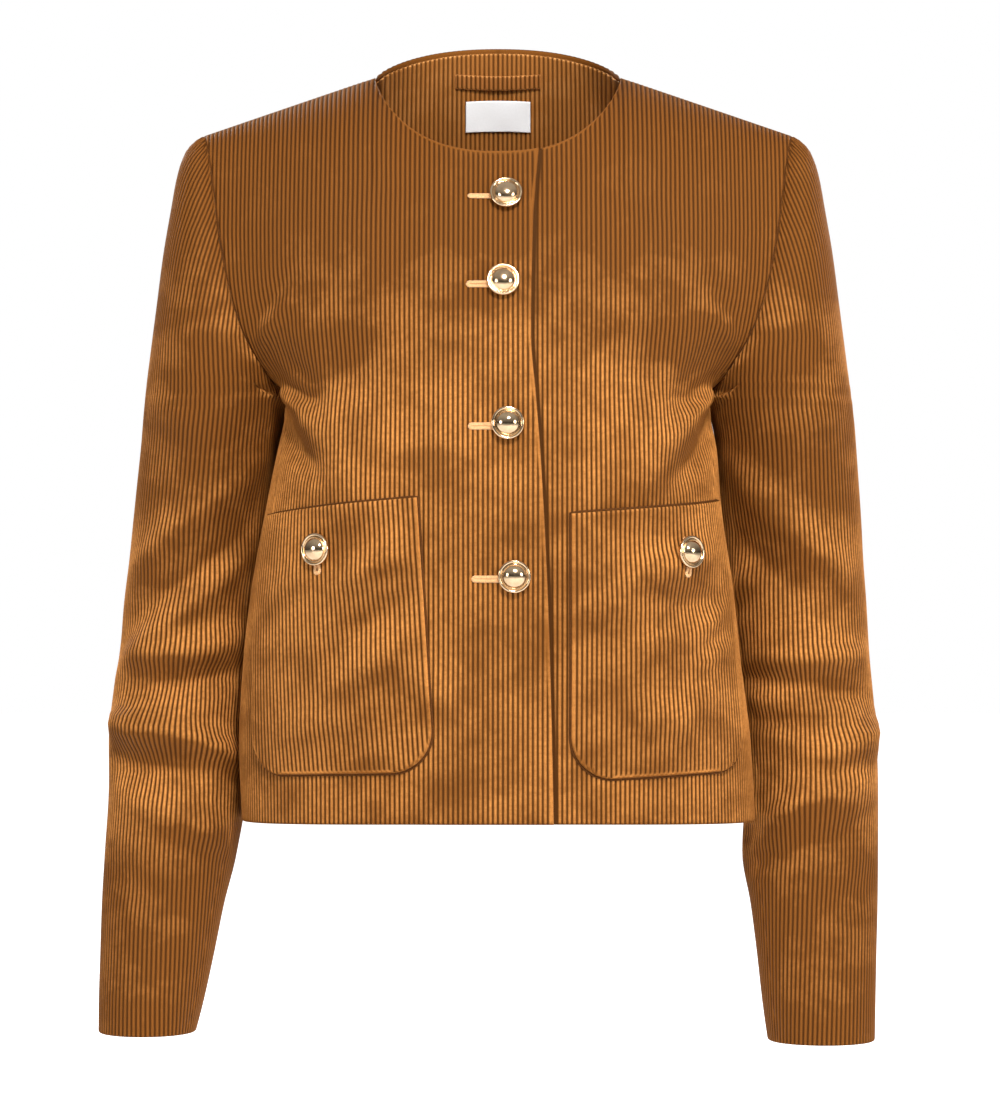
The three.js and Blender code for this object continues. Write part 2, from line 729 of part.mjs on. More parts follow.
function backPanel() {
  const wall = new Wall();
  for (const side of [RIGHT, LEFT]) {
    wall.grid(bodyRows(side, BACK, BACK_LEVELS, panelColumns(side, BACK, BACK_SEAM)));
  }
  add('back', wall.geometry());
}

function sidePanel(side) {
  const wall = new Wall();
  for (const [half, seam, tip] of [[FRONT, FRONT_SEAM, []], [BACK, BACK_SEAM, [BACK_TIP_LEVEL]]]) {
    const heights = [...LOWER_LEVELS, ...SCOOP_LEVELS, ...tip];
    const from = seamLine(bodyEdge, seam, side, half, 1);
    const to = (level) => bodyEdge(side, half, level) - (level > UNDERARM_LEVEL ? HALF_GAP : 0);
    wall.grid(bodyRows(side, half, heights, (level) => levels(from(level), to(level), SIDE_COLUMNS)));
  }
  add(`side_panel_${side.name}`, wall.geometry());
}

// Sleeves

const SLEEVE_STEPS = 24;
const CAP_LEVELS = [305, 311, 322, 330, 339, 349, 366, 384, 402, 420, 436, 452, 468, 482, 494, 504, 509];

const UNDER_LEVELS = [305, 311, 322, 330];
const UNDER_TIP_LEVELS = [339, 349];
const UPPER_COLUMNS = 7;

function sleeveLevels(side) {
  return levels(CUFF_LEVEL[side.name], UNDERARM_LEVEL, SLEEVE_STEPS);
}

function upperSleeve(side) {
  const wall = new Wall();
  const heights = [...sleeveLevels(side), ...CAP_LEVELS];
  for (const [half, seam] of [[FRONT, SLEEVE_FRONT_SEAM], [BACK, SLEEVE_BACK_SEAM]]) {
    const to = seamLine(sleeveEdge, seam, side, half, -1);
    wall.grid(sleeveRows(side, half, heights, UPPER_COLUMNS, () => 0, to));
  }
  add(`upper_sleeve_${side.name}`, wall.geometry());
}

function underSleeve(side) {
  const wall = new Wall();
  for (const [half, seam, tip, columns] of [
    [FRONT, SLEEVE_FRONT_SEAM, [], 2],
    [BACK, SLEEVE_BACK_SEAM, UNDER_TIP_LEVELS, 3],
  ]) {
    const heights = [...sleeveLevels(side), ...UNDER_LEVELS, ...tip];
    const from = seamLine(sleeveEdge, seam, side, half, 1);
    const to = (level) => sleeveEdge(side, half, level) - (level > UNDERARM_LEVEL ? HALF_GAP : 0);
    wall.grid(sleeveRows(side, half, heights, columns, from, to));
  }
  add(`under_sleeve_${side.name}`, wall.geometry());
}

// Pieces that lie on a panel

function pocketPlace(shape, along, up) {
  return [0, 1].map((i) => {
    const inner = mix(shape.bottomInner[i], shape.topInner[i], up);
    const outer = mix(shape.bottomOuter[i], shape.topOuter[i], up);
    return mix(inner, outer, along);
  });
}

function pocket(side) {
  const shape = POCKETS[side.name];
  const width = shape.topOuter[0] - shape.topInner[0];
  const height = shape.topInner[1] - shape.bottomInner[1];
  const rows = levels(0, 1, POCKET_ROWS).map((t) => {
    const up = mix(t, t * t, POCKET_CROWDING);
    const low = Math.max(POCKET_CORNER - up * height, 0);
    const inset = POCKET_CORNER - Math.sqrt(Math.max(POCKET_CORNER ** 2 - low ** 2, 0));
    return levels(inset / width, 1 - inset / width, POCKET_COLUMNS).map((along) => {
      const [across, level] = pocketPlace(shape, along, up);
      return laidOn(side, FRONT, across, level, POCKET_GAP + WALL);
    });
  });
  add(`pocket_${side.name}`, new Wall().grid(rows).geometry());
}

// Buttons: a domed centre in a raised rim, on a short shank
const BUTTON_PROFILE = [
  [0, 0], [2.4, 0], [2.4, 1.5], [9.6, 1.9], [11.3, 3], [11.2, 4.3],
  [10.1, 5], [8.7, 4.1], [8.1, 4.4], [7, 6.6], [4, 8.2], [0, 8.8],
];

function button(name, { point, normal }) {
  const profile = BUTTON_PROFILE.map(([radius, height]) => new THREE.Vector2(radius, height));
  const geometry = new THREE.LatheGeometry(profile, BUTTON_SIDES);
  geometry.rotateX(Math.PI / 2);
  geometry.applyQuaternion(new THREE.Quaternion().setFromUnitVectors(new THREE.Vector3(0, 0, 1), normal));
  geometry.translate(...point.toArray());
  add(name, geometry, METAL);
}

function buttons() {
  FRONT_BUTTONS.forEach(({ across, level }, i) => {
    button(`front_button_${i + 1}`, laidOn(RIGHT, FRONT, -across, level, BUTTON_LIFT));
  });
  for (const side of [RIGHT, LEFT]) {
    const shape = POCKETS[side.name];
    const { along, below } = POCKET_BUTTONS[side.name];
    const up = 1 - below / (shape.topInner[1] - shape.bottomInner[1]);
    const [across, level] = pocketPlace(shape, along, up);
    const place = laidOn(side, FRONT, across, level, POCKET_GAP + WALL + BUTTON_LIFT);
    button(`pocket_button_${side.name}`, place);
  }
}

// Inside the back neck

// Level on the back at a distance below the neckline, measured down the cloth
function neckLevel(across, below) {
  const side = across < 0 ? RIGHT : LEFT;
  const top = bodySurface(side, BACK, Math.abs(across), SHOULDER_LEVEL);
  const foot = bodySurface(side, BACK, Math.abs(across), YOKE_LEVEL);
  return SHOULDER_LEVEL - (below / top.distanceTo(foot)) * (SHOULDER_LEVEL - YOKE_LEVEL);
}

// The facing has the back panel's own rows and columns, so that the two stay parallel.
function facing() {
  const wall = new Wall();
  for (const side of [RIGHT, LEFT]) {
    const columns = panelColumns(side, BACK, BACK_SEAM);
    wall.grid(FACING_LEVELS.map((level) => columns(level).slice(0, FACING_COLUMNS).map((across) => (
      laidOn(side, BACK, across, level, -WALL - LAID_GAP)
    ))));
  }
  add('back_neck_facing', wall.geometry());
}

function hangerLoop() {
  const columns = levels(-LOOP.halfLength, LOOP.halfLength, LOOP.columns);
  const rows = [0, LOOP.height].map((down) => columns.map((across) => {
    const side = across < 0 ? RIGHT : LEFT;
    const sag = LOOP.sag * (1 - (across / LOOP.halfLength) ** 2);
    return laidOn(side, BACK, Math.abs(across), neckLevel(across, LOOP.below + down + sag), ON_FACING);
  }));
  add('hanger_loop', new Wall(LOOP.thickness).grid(rows).geometry());
}

function neckLabel() {
  const downs = levels(LABEL.below, LABEL.below + LABEL.height, LABEL.rows);
  const rows = downs.map((down) => levels(-LABEL.halfWidth, LABEL.halfWidth, LABEL.columns).map((across) => {
    const side = across < 0 ? RIGHT : LEFT;
    return laidOn(side, BACK, Math.abs(across), neckLevel(across, down), ON_FACING);
  }));
  add('neck_label', new Wall(LABEL.thickness).grid(rows).geometry(), LABEL_CLOTH);
}

for (const side of [RIGHT, LEFT]) {
  frontPanel(side);
  sidePanel(side);
  upperSleeve(side);
  underSleeve(side);
  pocket(side);
}
backPanel();
facing();
hangerLoop();
neckLabel();
buttons();

export default jacket;
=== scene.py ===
# A short, collarless corduroy jacket, filled out as if worn, with no wearer in it.
# The cloth repeats the solids' own fabric grid, in millimetres, and adds wales, creases, turned
# edges, stitching and fine buttons. "across" is the distance along a section, from the centre
# line of the body or from the outer line of a sleeve, and "level" counts up from the hem.

import math
from collections import namedtuple
from functools import partial

import bpy
import numpy as np
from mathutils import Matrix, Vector


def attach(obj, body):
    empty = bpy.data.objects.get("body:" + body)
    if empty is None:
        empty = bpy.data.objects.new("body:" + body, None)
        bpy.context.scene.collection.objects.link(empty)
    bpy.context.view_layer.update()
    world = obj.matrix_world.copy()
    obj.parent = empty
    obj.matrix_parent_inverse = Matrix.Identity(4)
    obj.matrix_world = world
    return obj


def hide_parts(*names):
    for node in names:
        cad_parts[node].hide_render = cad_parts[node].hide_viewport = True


MM = 0.001
ROOT = "root"

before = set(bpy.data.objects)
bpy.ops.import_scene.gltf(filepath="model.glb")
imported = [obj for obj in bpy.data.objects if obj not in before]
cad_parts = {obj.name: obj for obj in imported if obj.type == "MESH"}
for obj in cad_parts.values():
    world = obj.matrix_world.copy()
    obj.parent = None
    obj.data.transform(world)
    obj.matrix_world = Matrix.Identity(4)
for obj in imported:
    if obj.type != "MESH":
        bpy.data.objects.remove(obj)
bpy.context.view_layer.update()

# Cloth
WALL = 1.8
POCKET_GAP = 1.2
LAID_GAP = 0.8
WALE = 3.39
WALE_COLUMNS = 5
WALE_HEIGHT = 0.85
WALE_ROUNDNESS = 1.3
ROW_STEP = 6.5
ARMHOLE_LEVELS = (288, 366)
ARMHOLE_ROW_STEP = 3
EDGE_ROUND = 1.5
SEAM_ROUND = 1.8
EDGE_STEPS = (0.0, 0.35, 0.9, 1.7, 3.2)

# Body: heights and reach of the main lines
HEM_HEIGHT = -526
HEM_RISE_AT_CENTRE = 3
NECK_HALF_WIDTH = 87
NECK_LEAN = 0.25
SHOULDER_HALF_WIDTH = 209
SHOULDER_SLOPE = 0.341
UNDERARM_LEVEL = 299
YOKE_LEVEL = 420
SHOULDER_LEVEL = 510
CUFF_LEVEL = {"right": -150, "left": -156}
LAP_RAISE = 2.7
LAP_RAMP = (26, 68)
UNDERLAP = 26
BUTTON_LIFT = 0.3
CURVE_STEPS = 32
BULGE = 4 / 3
CAP_MIDDLE = 2
CAP_OVERRUN = 1.2
NORMAL_STEP = 0.5
CALM_BODY = 22
CALM_SLEEVE = 16


def mix(a, b, t):
    return a + (b - a) * t


def smoothstep(start, end, value):
    t = np.clip((value - start) / (end - start), 0, 1)
    return t * t * (3 - 2 * t)


def hermite(a, slope_a, b, slope_b, t):
    t2 = t * t
    t3 = t2 * t
    return ((2 * t3 - 3 * t2 + 1) * a + (t3 - 2 * t2 + t) * slope_a
            + (3 * t2 - 2 * t3) * b + (t3 - t2) * slope_b)


class Table:
    """Rows of named columns; between them each column follows a curve that never overshoots them"""

    def __init__(self, columns, rows):
        self.columns = columns
        self.rows = np.array(rows, float)
        rise = np.diff(self.rows, axis=0) / np.diff(self.rows[:, :1], axis=0)
        before, after = rise[:-1], rise[1:]
        total = np.where(before + after == 0, 1, before + after)
        inner = np.where(before * after > 0, 2 * before * after / total, 0)
        self.slopes = np.vstack([rise[:1], inner, rise[-1:]])

    def __call__(self, level):
        at = self.rows[:, 0]
        level = np.clip(np.asarray(level, float), at[0], at[-1])
        i = np.clip(np.searchsorted(at, level, side="left") - 1, 0, len(at) - 2)
        step = at[i + 1] - at[i]
        t = (level - at[i]) / step
        return {
            name: hermite(row[i], slope[i] * step, row[i + 1], slope[i + 1] * step, t)
            for name, row, slope in zip(self.columns, self.rows.T, self.slopes.T)
        }


SECTION_COLUMNS = ("level", "centre", "full", "sideRight", "sideLeft", "sideDepth", "sideHeight", "turn",
                   "hold")
FRONT_SECTIONS = Table(SECTION_COLUMNS, [
    [0, 122, 0.62, 181, 182, 14, -526, 90, 66],
    [56, 123, 0.62, 183, 178.5, 14, -470, 90, 66],
    [113, 125, 0.63, 180, 171.5, 14, -413, 90, 68],
    [165, 127, 0.64, 174, 166, 13, -361, 90, 70],
    [221, 130, 0.66, 164, 158, 10, -305, 90, 73],
    [262, 130, 0.69, 156, 155, 4, -264, 90, 77],
    [288, 128.8, 0.71, 150, 149.5, -2, -238, 90, 80],
    [299, 128, 0.715, 147, 146.5, -2, -227, 90, 81],
    [311, 127, 0.66, 157, 155, 28, -218.5, 68, 50],
    [329, 124, 0.62, 168, 166, 48, -202, 50, 42],
    [352, 120, 0.6, 179, 178, 56, -180, 41, 48],
    [384, 112, 0.6, 188, 188, 54, -150, 32, 52],
    [420, 101, 0.6, 195, 195.5, 45, -114, 28, 58],
])
BACK_SECTIONS = Table(SECTION_COLUMNS, [
    [0, 113, 0.62, 181, 182, -14, -526, 90, 62],
    [56, 109, 0.62, 183, 178.5, -14, -470, 90, 62],
    [113, 106, 0.62, 180, 171.5, -14, -413, 90, 60],
    [165, 105, 0.63, 174, 166, -13, -361, 90, 60],
    [221, 108, 0.65, 164, 158, -10, -305, 90, 62],
    [262, 112, 0.68, 156, 155, -4, -264, 90, 66],
    [288, 113.5, 0.72, 150, 149.5, 2, -238, 90, 73],
    [299, 114, 0.74, 147, 146.5, 2, -227, 90, 76],
    [311, 116, 0.66, 158, 156, 32, -218.5, 68, 44],
    [329, 117, 0.62, 171, 169, 50, -202, 50, 40],
    [352, 117, 0.6, 182, 181, 57, -180, 42, 46],
    [384, 115, 0.6, 190, 190, 55, -150, 33, 52],
    [420, 110, 0.6, 196, 196.5, 46, -114, 28, 58],
])

SLEEVE_COLUMNS = ("level", "outer", "inner", "middle", "halfDepth")
RIGHT_SLEEVE = Table(SLEEVE_COLUMNS, [
    [-150, 283, 214, -6, 44],
    [-129, 283, 208.7, -3, 45],
    [-95, 282.6, 201.6, 4, 46],
    [-61, 282, 195, 10, 47],
    [-26, 280.5, 186.5, 16, 49],
    [25, 278, 179.5, 22, 50],
    [56, 278.5, 179.5, 26, 51],
    [84, 276, 178, 28, 52],
    [117, 271, 174.8, 30, 52],
    [155, 267.7, 170.7, 31, 53],
    [184, 264, 167.1, 30, 54],
    [212, 261, 163.3, 28, 55],
    [240, 257.7, 159.9, 23, 56],
    [269, 254, 155.2, 15, 57],
    [288, 252, 150.5, 7, 57],
    [299, 250.6, 147, 2, 57],
])
LEFT_SLEEVE = Table(SLEEVE_COLUMNS, [
    [-156, 267, 191, -6, 44],
    [-129, 267.7, 187.4, -3, 45],
    [-95, 269, 184, 5, 46],
    [-61, 270.5, 180, 13, 47],
    [-26, 271.5, 174.5, 21, 49],
    [25, 272, 177, 27, 50],
    [56, 271, 174.5, 29, 51],
    [84, 269, 170.6, 30, 52],
    [117, 266, 166.3, 31, 52],
    [155, 263.8, 163.8, 31, 53],
    [184, 261.6, 160.9, 30, 54],
    [212, 260, 157.3, 28, 55],
    [240, 257.7, 156, 23, 56],
    [269, 255, 154.8, 15, 57],
    [288, 253, 150.1, 7, 57],
    [299, 252, 146.5, 2, 57],
])
SLEEVE_CAP = Table(("level", "outerHeight", "outerHold", "edgeHold", "edgeTurn"), [
    [299, -227, 76, 76, 90],
    [311, -219, 72, 44, 72],
    [329, -204, 65, 31, 56],
    [352, -184, 59, 27, 44],
    [384, -157, 51, 24, 38],
    [420, -122, 43, 22, 35],
    [450, -90, 34, 17, 32],
    [480, -62, 20, 10, 30],
    [498, -49.5, 8, 4, 30],
    [510, -41.6, 0.5, 0.5, 30],
])
CAP_REACH = Table(("level", "reach"), [
    [-229, 251],
    [-195, 246.5],
    [-161, 242],
    [-127, 237.5],
    [-92, 231.5],
    [-75, 228.5],
    [-58, 223.5],
    [-50, 219],
    [-46, 215],
    [-41.6, 209],
])
SEAM_COLUMNS = ("level", "inset")
FRONT_SEAM = Table(SEAM_COLUMNS, [[0, 55], [113, 52], [221, 42], [299, 27], [312, 12], [321, 0]])
BACK_SEAM = Table(SEAM_COLUMNS, [[0, 60], [113, 56], [221, 50], [299, 34], [315, 14], [327, 0]])
SLEEVE_FRONT_SEAM = Table(SEAM_COLUMNS, [[-156, 24], [0, 28], [299, 33], [318, 15], [333, 0]])
SLEEVE_BACK_SEAM = Table(SEAM_COLUMNS, [[-156, 48], [0, 54], [299, 60], [325, 34], [352, 0]])
LAP_EDGE = Table(("level", "past"), [
    [0, 38], [56, 37], [110, 35.5], [165, 33.5], [251, 29], [290, 26], [336, 22.5], [395, 23.5], [510, 28],
])

# Folds of the solids, then finer creases that only the cloth has. Each row: across and level of
# one end, across and level of the other, width, height.
FRONT_FOLDS = [
    [-205, 318, -118, 262, 11, 6.5],
    [-196, 284, -120, 236, 10, -5],
    [-150, 352, -105, 262, 15, 3.6],
    [206, 316, 112, 256, 11, 6.5],
    [196, 282, 118, 228, 10, -5],
    [150, 352, 100, 262, 15, 3.6],
    [-128, 300, -96, 200, 26, 4.5],
    [122, 300, 92, 200, 26, 4.5],
    [176, 196, 66, 154, 10, 3.5],
    [190, 164, 92, 130, 10, -3.1],
    [-52, 196, -120, 158, 9, 3.4],
    [-48, 158, -112, 128, 9, -3],
    [-22, 250, -34, 60, 13, -2.6],
    [66, 250, 52, 40, 13, 2.6],
    [-92, 240, -84, 10, 20, 2.4],
    [112, 200, 100, 10, 20, 1.8],
    # Creases
    [-208, 322, -142, 372, 7, 3.0],
    [-198, 340, -140, 392, 8, -2.4],
    [-178, 318, -130, 298, 6, 2.0],
    [205, 322, 146, 366, 8, 2.6],
    [196, 340, 142, 386, 8, -2.0],
    [-190, 304, -128, 282, 6, 2.1],
    [-178, 330, -140, 300, 6, 1.8],
    [190, 302, 122, 276, 6, 2.2],
    [182, 332, 138, 298, 6, 1.8],
    [-40, 455, -120, 430, 13, -1.7],
    [60, 446, 140, 424, 14, -1.7],
    [-70, 120, -20, 60, 10, 1.5],
    [84, 176, 150, 190, 6, 1.8],
    [100, 150, 170, 158, 6, -1.5],
    [70, 80, 150, 64, 12, 1.5],
    [-60, 84, -150, 66, 12, 1.4],
    [-34, 120, -30, 20, 12, 1.8],
    [30, 130, 40, 16, 11, -1.5],
]
BACK_FOLDS = [
    [-196, 312, -110, 262, 12, 6],
    [-188, 282, -112, 232, 11, -4.5],
    [196, 314, 106, 254, 12, 6],
    [190, 280, 116, 238, 11, -4.5],
    [-140, 372, -118, 270, 18, 4],
    [142, 366, 112, 268, 18, 4],
    [-92, 176, 88, 190, 14, -4],
    [-110, 140, 104, 148, 14, 3.2],
    [-60, 118, -72, 16, 20, 3.4],
    [56, 122, 74, 10, 20, 3.4],
    # Creases
    [-184, 302, -126, 276, 6, 2],
    [188, 300, 120, 278, 6, 2.1],
    [-70, 220, 30, 206, 11, 1.8],
    [90, 160, 20, 168, 10, -1.7],
    [-120, 110, -60, 132, 9, 1.5],
    [60, 440, 140, 420, 14, 1.5],
    [-56, 446, -138, 424, 14, 1.7],
]
RIGHT_SLEEVE_FOLDS = [
    [-150, 268, -18, 168, 11, 5],
    [-142, 226, -8, 118, 11, -4.5],
    [-138, 196, -6, 92, 10, 4.2],
    [-140, 132, -26, 112, 9, 4.6],
    [-142, 106, -34, 92, 9, -6],
    [-12, 66, -104, 60, 11, 8.5],
    [-70, 66, -150, 36, 10, 7.5],
    [-18, 38, -110, 30, 10, -6.5],
    [-60, 6, -134, -12, 10, 4.6],
    [-24, -30, -96, -70, 14, -3],
    [26, 150, 138, 110, 12, 5.5],
    [20, 112, 132, 84, 12, -5.5],
    [14, 74, 128, 62, 12, 6.5],
    [30, 22, 120, 30, 13, -4.5],
    [40, 250, 150, 180, 14, 4],
    # Creases
    [-120, 214, -40, 150, 6, 2.4],
    [-112, 262, -60, 216, 6, 1.8],
    [-128, 122, -70, 112, 5, 2.2],
    [-118, 92, -40, 84, 5, -2],
    [-60, 58, -124, 46, 5, 2.1],
    [-40, 22, -120, 14, 6, -1.8],
    [-84, -8, -140, -26, 6, 1.8],
    [30, 96, 110, 78, 6, 2.1],
    [40, 46, 120, 40, 6, -2],
    [-30, 300, -100, 262, 12, 2],
    [-8, 70, -60, 74, 5, 2.6],
    [-54, 74, -124, 50, 5, 2.4],
    [-20, 50, -104, 38, 8, -2.6],
    [-30, 116, -130, 110, 6, 1.8],
    [-40, 16, -90, 8, 8, 1.8],
]
LEFT_SLEEVE_FOLDS = [
    [-146, 262, -30, 158, 12, 4.5],
    [-150, 216, -70, 150, 11, -4],
    [-14, 118, -128, 110, 8, 5],
    [-16, 86, -148, 98, 9, -6.5],
    [0, 66, -96, 46, 10, 8],
    [-16, 34, -146, -4, 12, 7.5],
    [-92, 22, -150, -18, 10, -5.5],
    [-120, 176, -156, 140, 9, 4.5],
    [-20, -36, -90, -84, 14, -3],
    [22, 144, 140, 118, 12, 5.5],
    [18, 108, 132, 88, 12, -5.5],
    [10, 66, 126, 58, 12, 6],
    [36, 26, 122, 20, 13, -4.5],
    [44, 246, 148, 186, 14, 4],
    # Creases
    [-130, 236, -60, 176, 6, 2.1],
    [-40, 132, -120, 128, 5, 2],
    [-50, 100, -130, 104, 5, -1.8],
    [-30, 52, -96, 34, 5, 2.2],
    [-60, 20, -136, -6, 6, 2],
    [-40, -4, -110, -30, 7, -1.8],
    [36, 126, 112, 108, 6, 2.1],
    [34, 88, 110, 76, 6, -2],
    [-34, 298, -104, 258, 12, 2],
    [-150, 74, -36, 60, 8, -3.2],
    [-2, 52, -76, 36, 6, 2.6],
    [-12, 20, -124, -16, 8, 2.6],
    [-98, -22, -146, -36, 8, -2.6],
    [-40, 92, -150, 90, 6, 2.2],
    [-120, 150, -152, 118, 7, 2.2],
]

# Short puckers where the sleeve head is eased into the armhole: level, reach from the seam, height
CAP_PUCKERS = [
    (352, 20, 0.7), (371, 26, 0.9), (388, 18, 0.6), (407, 30, 1.0), (424, 20, 0.7), (443, 26, 0.9),
    (458, 18, 0.7), (474, 24, 0.8), (489, 16, 0.5),
]
PUCKER_WIDTH = 5

POCKET_CORNER = 30
POCKET_CORNER_ROWS = 10
POCKET_CALM = 6
POCKET_SAG = 1.6
POCKET_DEEPEST_CREASE = -0.9
# Corners, each as across and level
POCKETS = {
    "right": {
        "top_inner": (55, 224), "top_outer": (196, 214),
        "bottom_inner": (43, 36), "bottom_outer": (186, 34),
    },
    "left": {
        "top_inner": (50, 213), "top_outer": (190, 225),
        "bottom_inner": (50, 30), "bottom_outer": (192, 38),
    },
}
# Each row: distance from the inner edge and height above the bottom of both ends, width, height
POCKET_CREASES = {
    "right": [
        [1, 148, 36, 139, 4, 1.3],
        [1, 133, 38, 122, 4.5, 1.6],
        [1, 116, 32, 108, 4, 1.3],
        [4, 100, 64, 52, 9, 1.8],
        [26, 108, 80, 70, 9, -1.4],
        [84, 150, 136, 112, 8, 1.3],
        [60, 40, 120, 22, 10, 1.2],
    ],
    "left": [
        [42, 130, 88, 116, 7, -2.3],
        [84, 116, 134, 138, 7, -2.1],
        [138, 116, 90, 94, 5, 2.0],
        [138, 86, 82, 72, 5, 2.0],
        [136, 100, 96, 84, 5, -1.5],
        [96, 88, 40, 52, 13, -1.7],
        [4, 122, 54, 112, 10, 2.0],
        [118, 62, 66, 28, 11, 1.6],
    ],
}
# Front buttons: distance past the centre line, level. Pocket buttons: share of the width, distance
# below the top.
FRONT_BUTTONS = [(5.5, 443), (3.5, 371), (6.5, 274), (11, 170)]
POCKET_BUTTONS = {"right": (0.52, 30), "left": (0.6, 32)}


Side = namedtuple("Side", "name sign column sleeve folds")
Half = namedtuple("Half", "sign sections folds neck lean")

# Neckline: drop, reach, roundness, fall
FRONT_NECK = (60, 84, 2.5, 1.75)
BACK_NECK = (-28, 66, 2.2, 1.3)
RIGHT = Side("right", -1, "sideRight", RIGHT_SLEEVE, RIGHT_SLEEVE_FOLDS)
LEFT = Side("left", 1, "sideLeft", LEFT_SLEEVE, LEFT_SLEEVE_FOLDS)
SIDES = (RIGHT, LEFT)
FRONT = Half(-1, FRONT_SECTIONS, FRONT_FOLDS, FRONT_NECK, 0.28)
BACK = Half(1, BACK_SECTIONS, BACK_FOLDS, BACK_NECK, 0.19)


def other(side):
    return LEFT if side is RIGHT else RIGHT


def fold_height(folds, across, level):
    height = np.zeros(np.shape(across))
    for across0, level0, across1, level1, width, rise in folds:
        run_across, run_level = across1 - across0, level1 - level0
        length = math.hypot(run_across, run_level)
        off_across, off_level = across - across0, level - level0
        along = (off_across * run_across + off_level * run_level) / length**2
        away = (off_across * run_level - off_level * run_across) / length / width
        there = (along > 0) & (along < 1)
        height += np.where(there, rise * np.sin(np.pi * along) * np.exp(-away * away), 0)
    return height


def bezier(controls, t):
    """controls: four (n, 2) arrays; t: (n,) or (n, m)"""
    a, b, c, d = controls
    if t.ndim == 2:
        a, b, c, d = (x[:, None, :] for x in (a, b, c, d))
    t = t[..., None]
    s = 1 - t
    return s**3 * a + 3 * s * s * t * b + 3 * s * t * t * c + t**3 * d


def section(controls):
    steps = np.linspace(0, 1, CURVE_STEPS + 1)
    count = len(controls[0])
    points = bezier(controls, np.broadcast_to(steps, (count, CURVE_STEPS + 1)))
    pieces = np.linalg.norm(np.diff(points, axis=1), axis=2)
    lengths = np.concatenate([np.zeros((count, 1)), np.cumsum(pieces, axis=1)], axis=1)
    return {"controls": controls, "lengths": lengths, "length": lengths[:, -1]}


def along_section(plan, distance):
    """The place at each distance along its section, carried on straight past the end"""
    lengths, length = plan["lengths"], plan["length"]
    inside = np.minimum(distance, length)
    i = np.clip((lengths[:, 1:] < inside[:, None]).sum(1), 0, CURVE_STEPS - 1)
    row = np.arange(len(distance))
    start, stop = lengths[row, i], lengths[row, i + 1]
    t = (i + (inside - start) / (stop - start)) / CURVE_STEPS
    place = bezier(plan["controls"], t)
    end = plan["controls"][3] - plan["controls"][2]
    end = end / np.linalg.norm(end, axis=1)[:, None]
    return place + end * np.maximum(distance - length, 0)[:, None]


def pairs(x, y):
    x, y = np.broadcast_arrays(np.asarray(x, float), np.asarray(y, float))
    return np.stack([x, y], axis=-1)


def by_level(make):
    """Works out the sections once for each level, however many places share it"""
    def found(side, half, level):
        levels, back = np.unique(level, return_inverse=True)
        plan = make(side, half, levels)
        return {name: [c[back] for c in value] if isinstance(value, list) else value[back]
                for name, value in plan.items()}
    return found


@by_level
def body_section(side, half, level):
    row = half.sections(np.minimum(level, YOKE_LEVEL))
    reach = row[side.column]
    turn = np.radians(row["turn"])
    centre_depth = half.sign * row["centre"]
    edge_depth = half.sign * row["sideDepth"]
    plan = section([
        pairs(0, centre_depth),
        pairs(row["full"] * reach, centre_depth),
        pairs(reach - np.cos(turn) * row["hold"], edge_depth + half.sign * np.sin(turn) * row["hold"]),
        pairs(reach, edge_depth),
    ])
    return {**plan, "reach": reach, "turn": turn, "sideHeight": row["sideHeight"]}


def top_edge(half, reach):
    drop, depth, roundness, fall = half.neck
    t = np.clip(reach / NECK_HALF_WIDTH, 0, 1)
    curve = (1 - t**roundness) ** (1 / roundness)
    out = reach >= NECK_HALF_WIDTH
    y = np.where(out, 0, half.sign * depth * curve)
    z = np.where(out, -SHOULDER_SLOPE * (reach - NECK_HALF_WIDTH), -drop * curve**fall)
    return y, z, np.where(out, 1, mix(NECK_LEAN, 1, t**3))


# Where the cloth is softened: at the underarm and below the neck point
SOFT_LEVEL, SOFT_SPREAD, SOFT_FROM, SOFT_TO, SOFT_REACH = 301, 30, 0, 18, 12
SOFT_SHARES = ((-2, 0.12), (-1, 0.24), (0, 0.28), (1, 0.24), (2, 0.12))
NECK_SOFT_REACH, NECK_SOFT_WIDTH, NECK_SOFT_RAMP = 5, 9, (-10, 20)
LEAST_SHARE = 0.01


def mean_place(surface, side, half, across, level, reach_across, reach_level):
    return sum(
        part * surface(side, half, across + step * reach_across, level + step * reach_level)
        for step, part in SOFT_SHARES
    )


def softened(surface, edge):
    """Near the underarm a place is the mean of the places just below and above it"""
    def soft(side, half, across, level):
        place = surface(side, half, across, level)
        near = np.exp(-(((level - SOFT_LEVEL) / SOFT_SPREAD) ** 2))
        there = near >= LEAST_SHARE
        if there.any():
            a, v = across[there], level[there]
            inside = np.minimum(edge(side, half, v), edge(side, half, v + SOFT_REACH)) - a
            share = (near[there] * smoothstep(SOFT_FROM, SOFT_TO, inside))[:, None]
            place[there] = mix(place[there], mean_place(surface, side, half, a, v, 0, SOFT_REACH), share)
        return place
    return soft


def body_edge(side, half, level):
    level = np.asarray(level, float)
    plan = body_section(side, half, level)
    t = np.maximum(level - YOKE_LEVEL, 0) / (SHOULDER_LEVEL - YOKE_LEVEL)
    return plan["length"] + t * (SHOULDER_HALF_WIDTH - plan["reach"]) / np.cos(np.minimum(plan["turn"], 1))


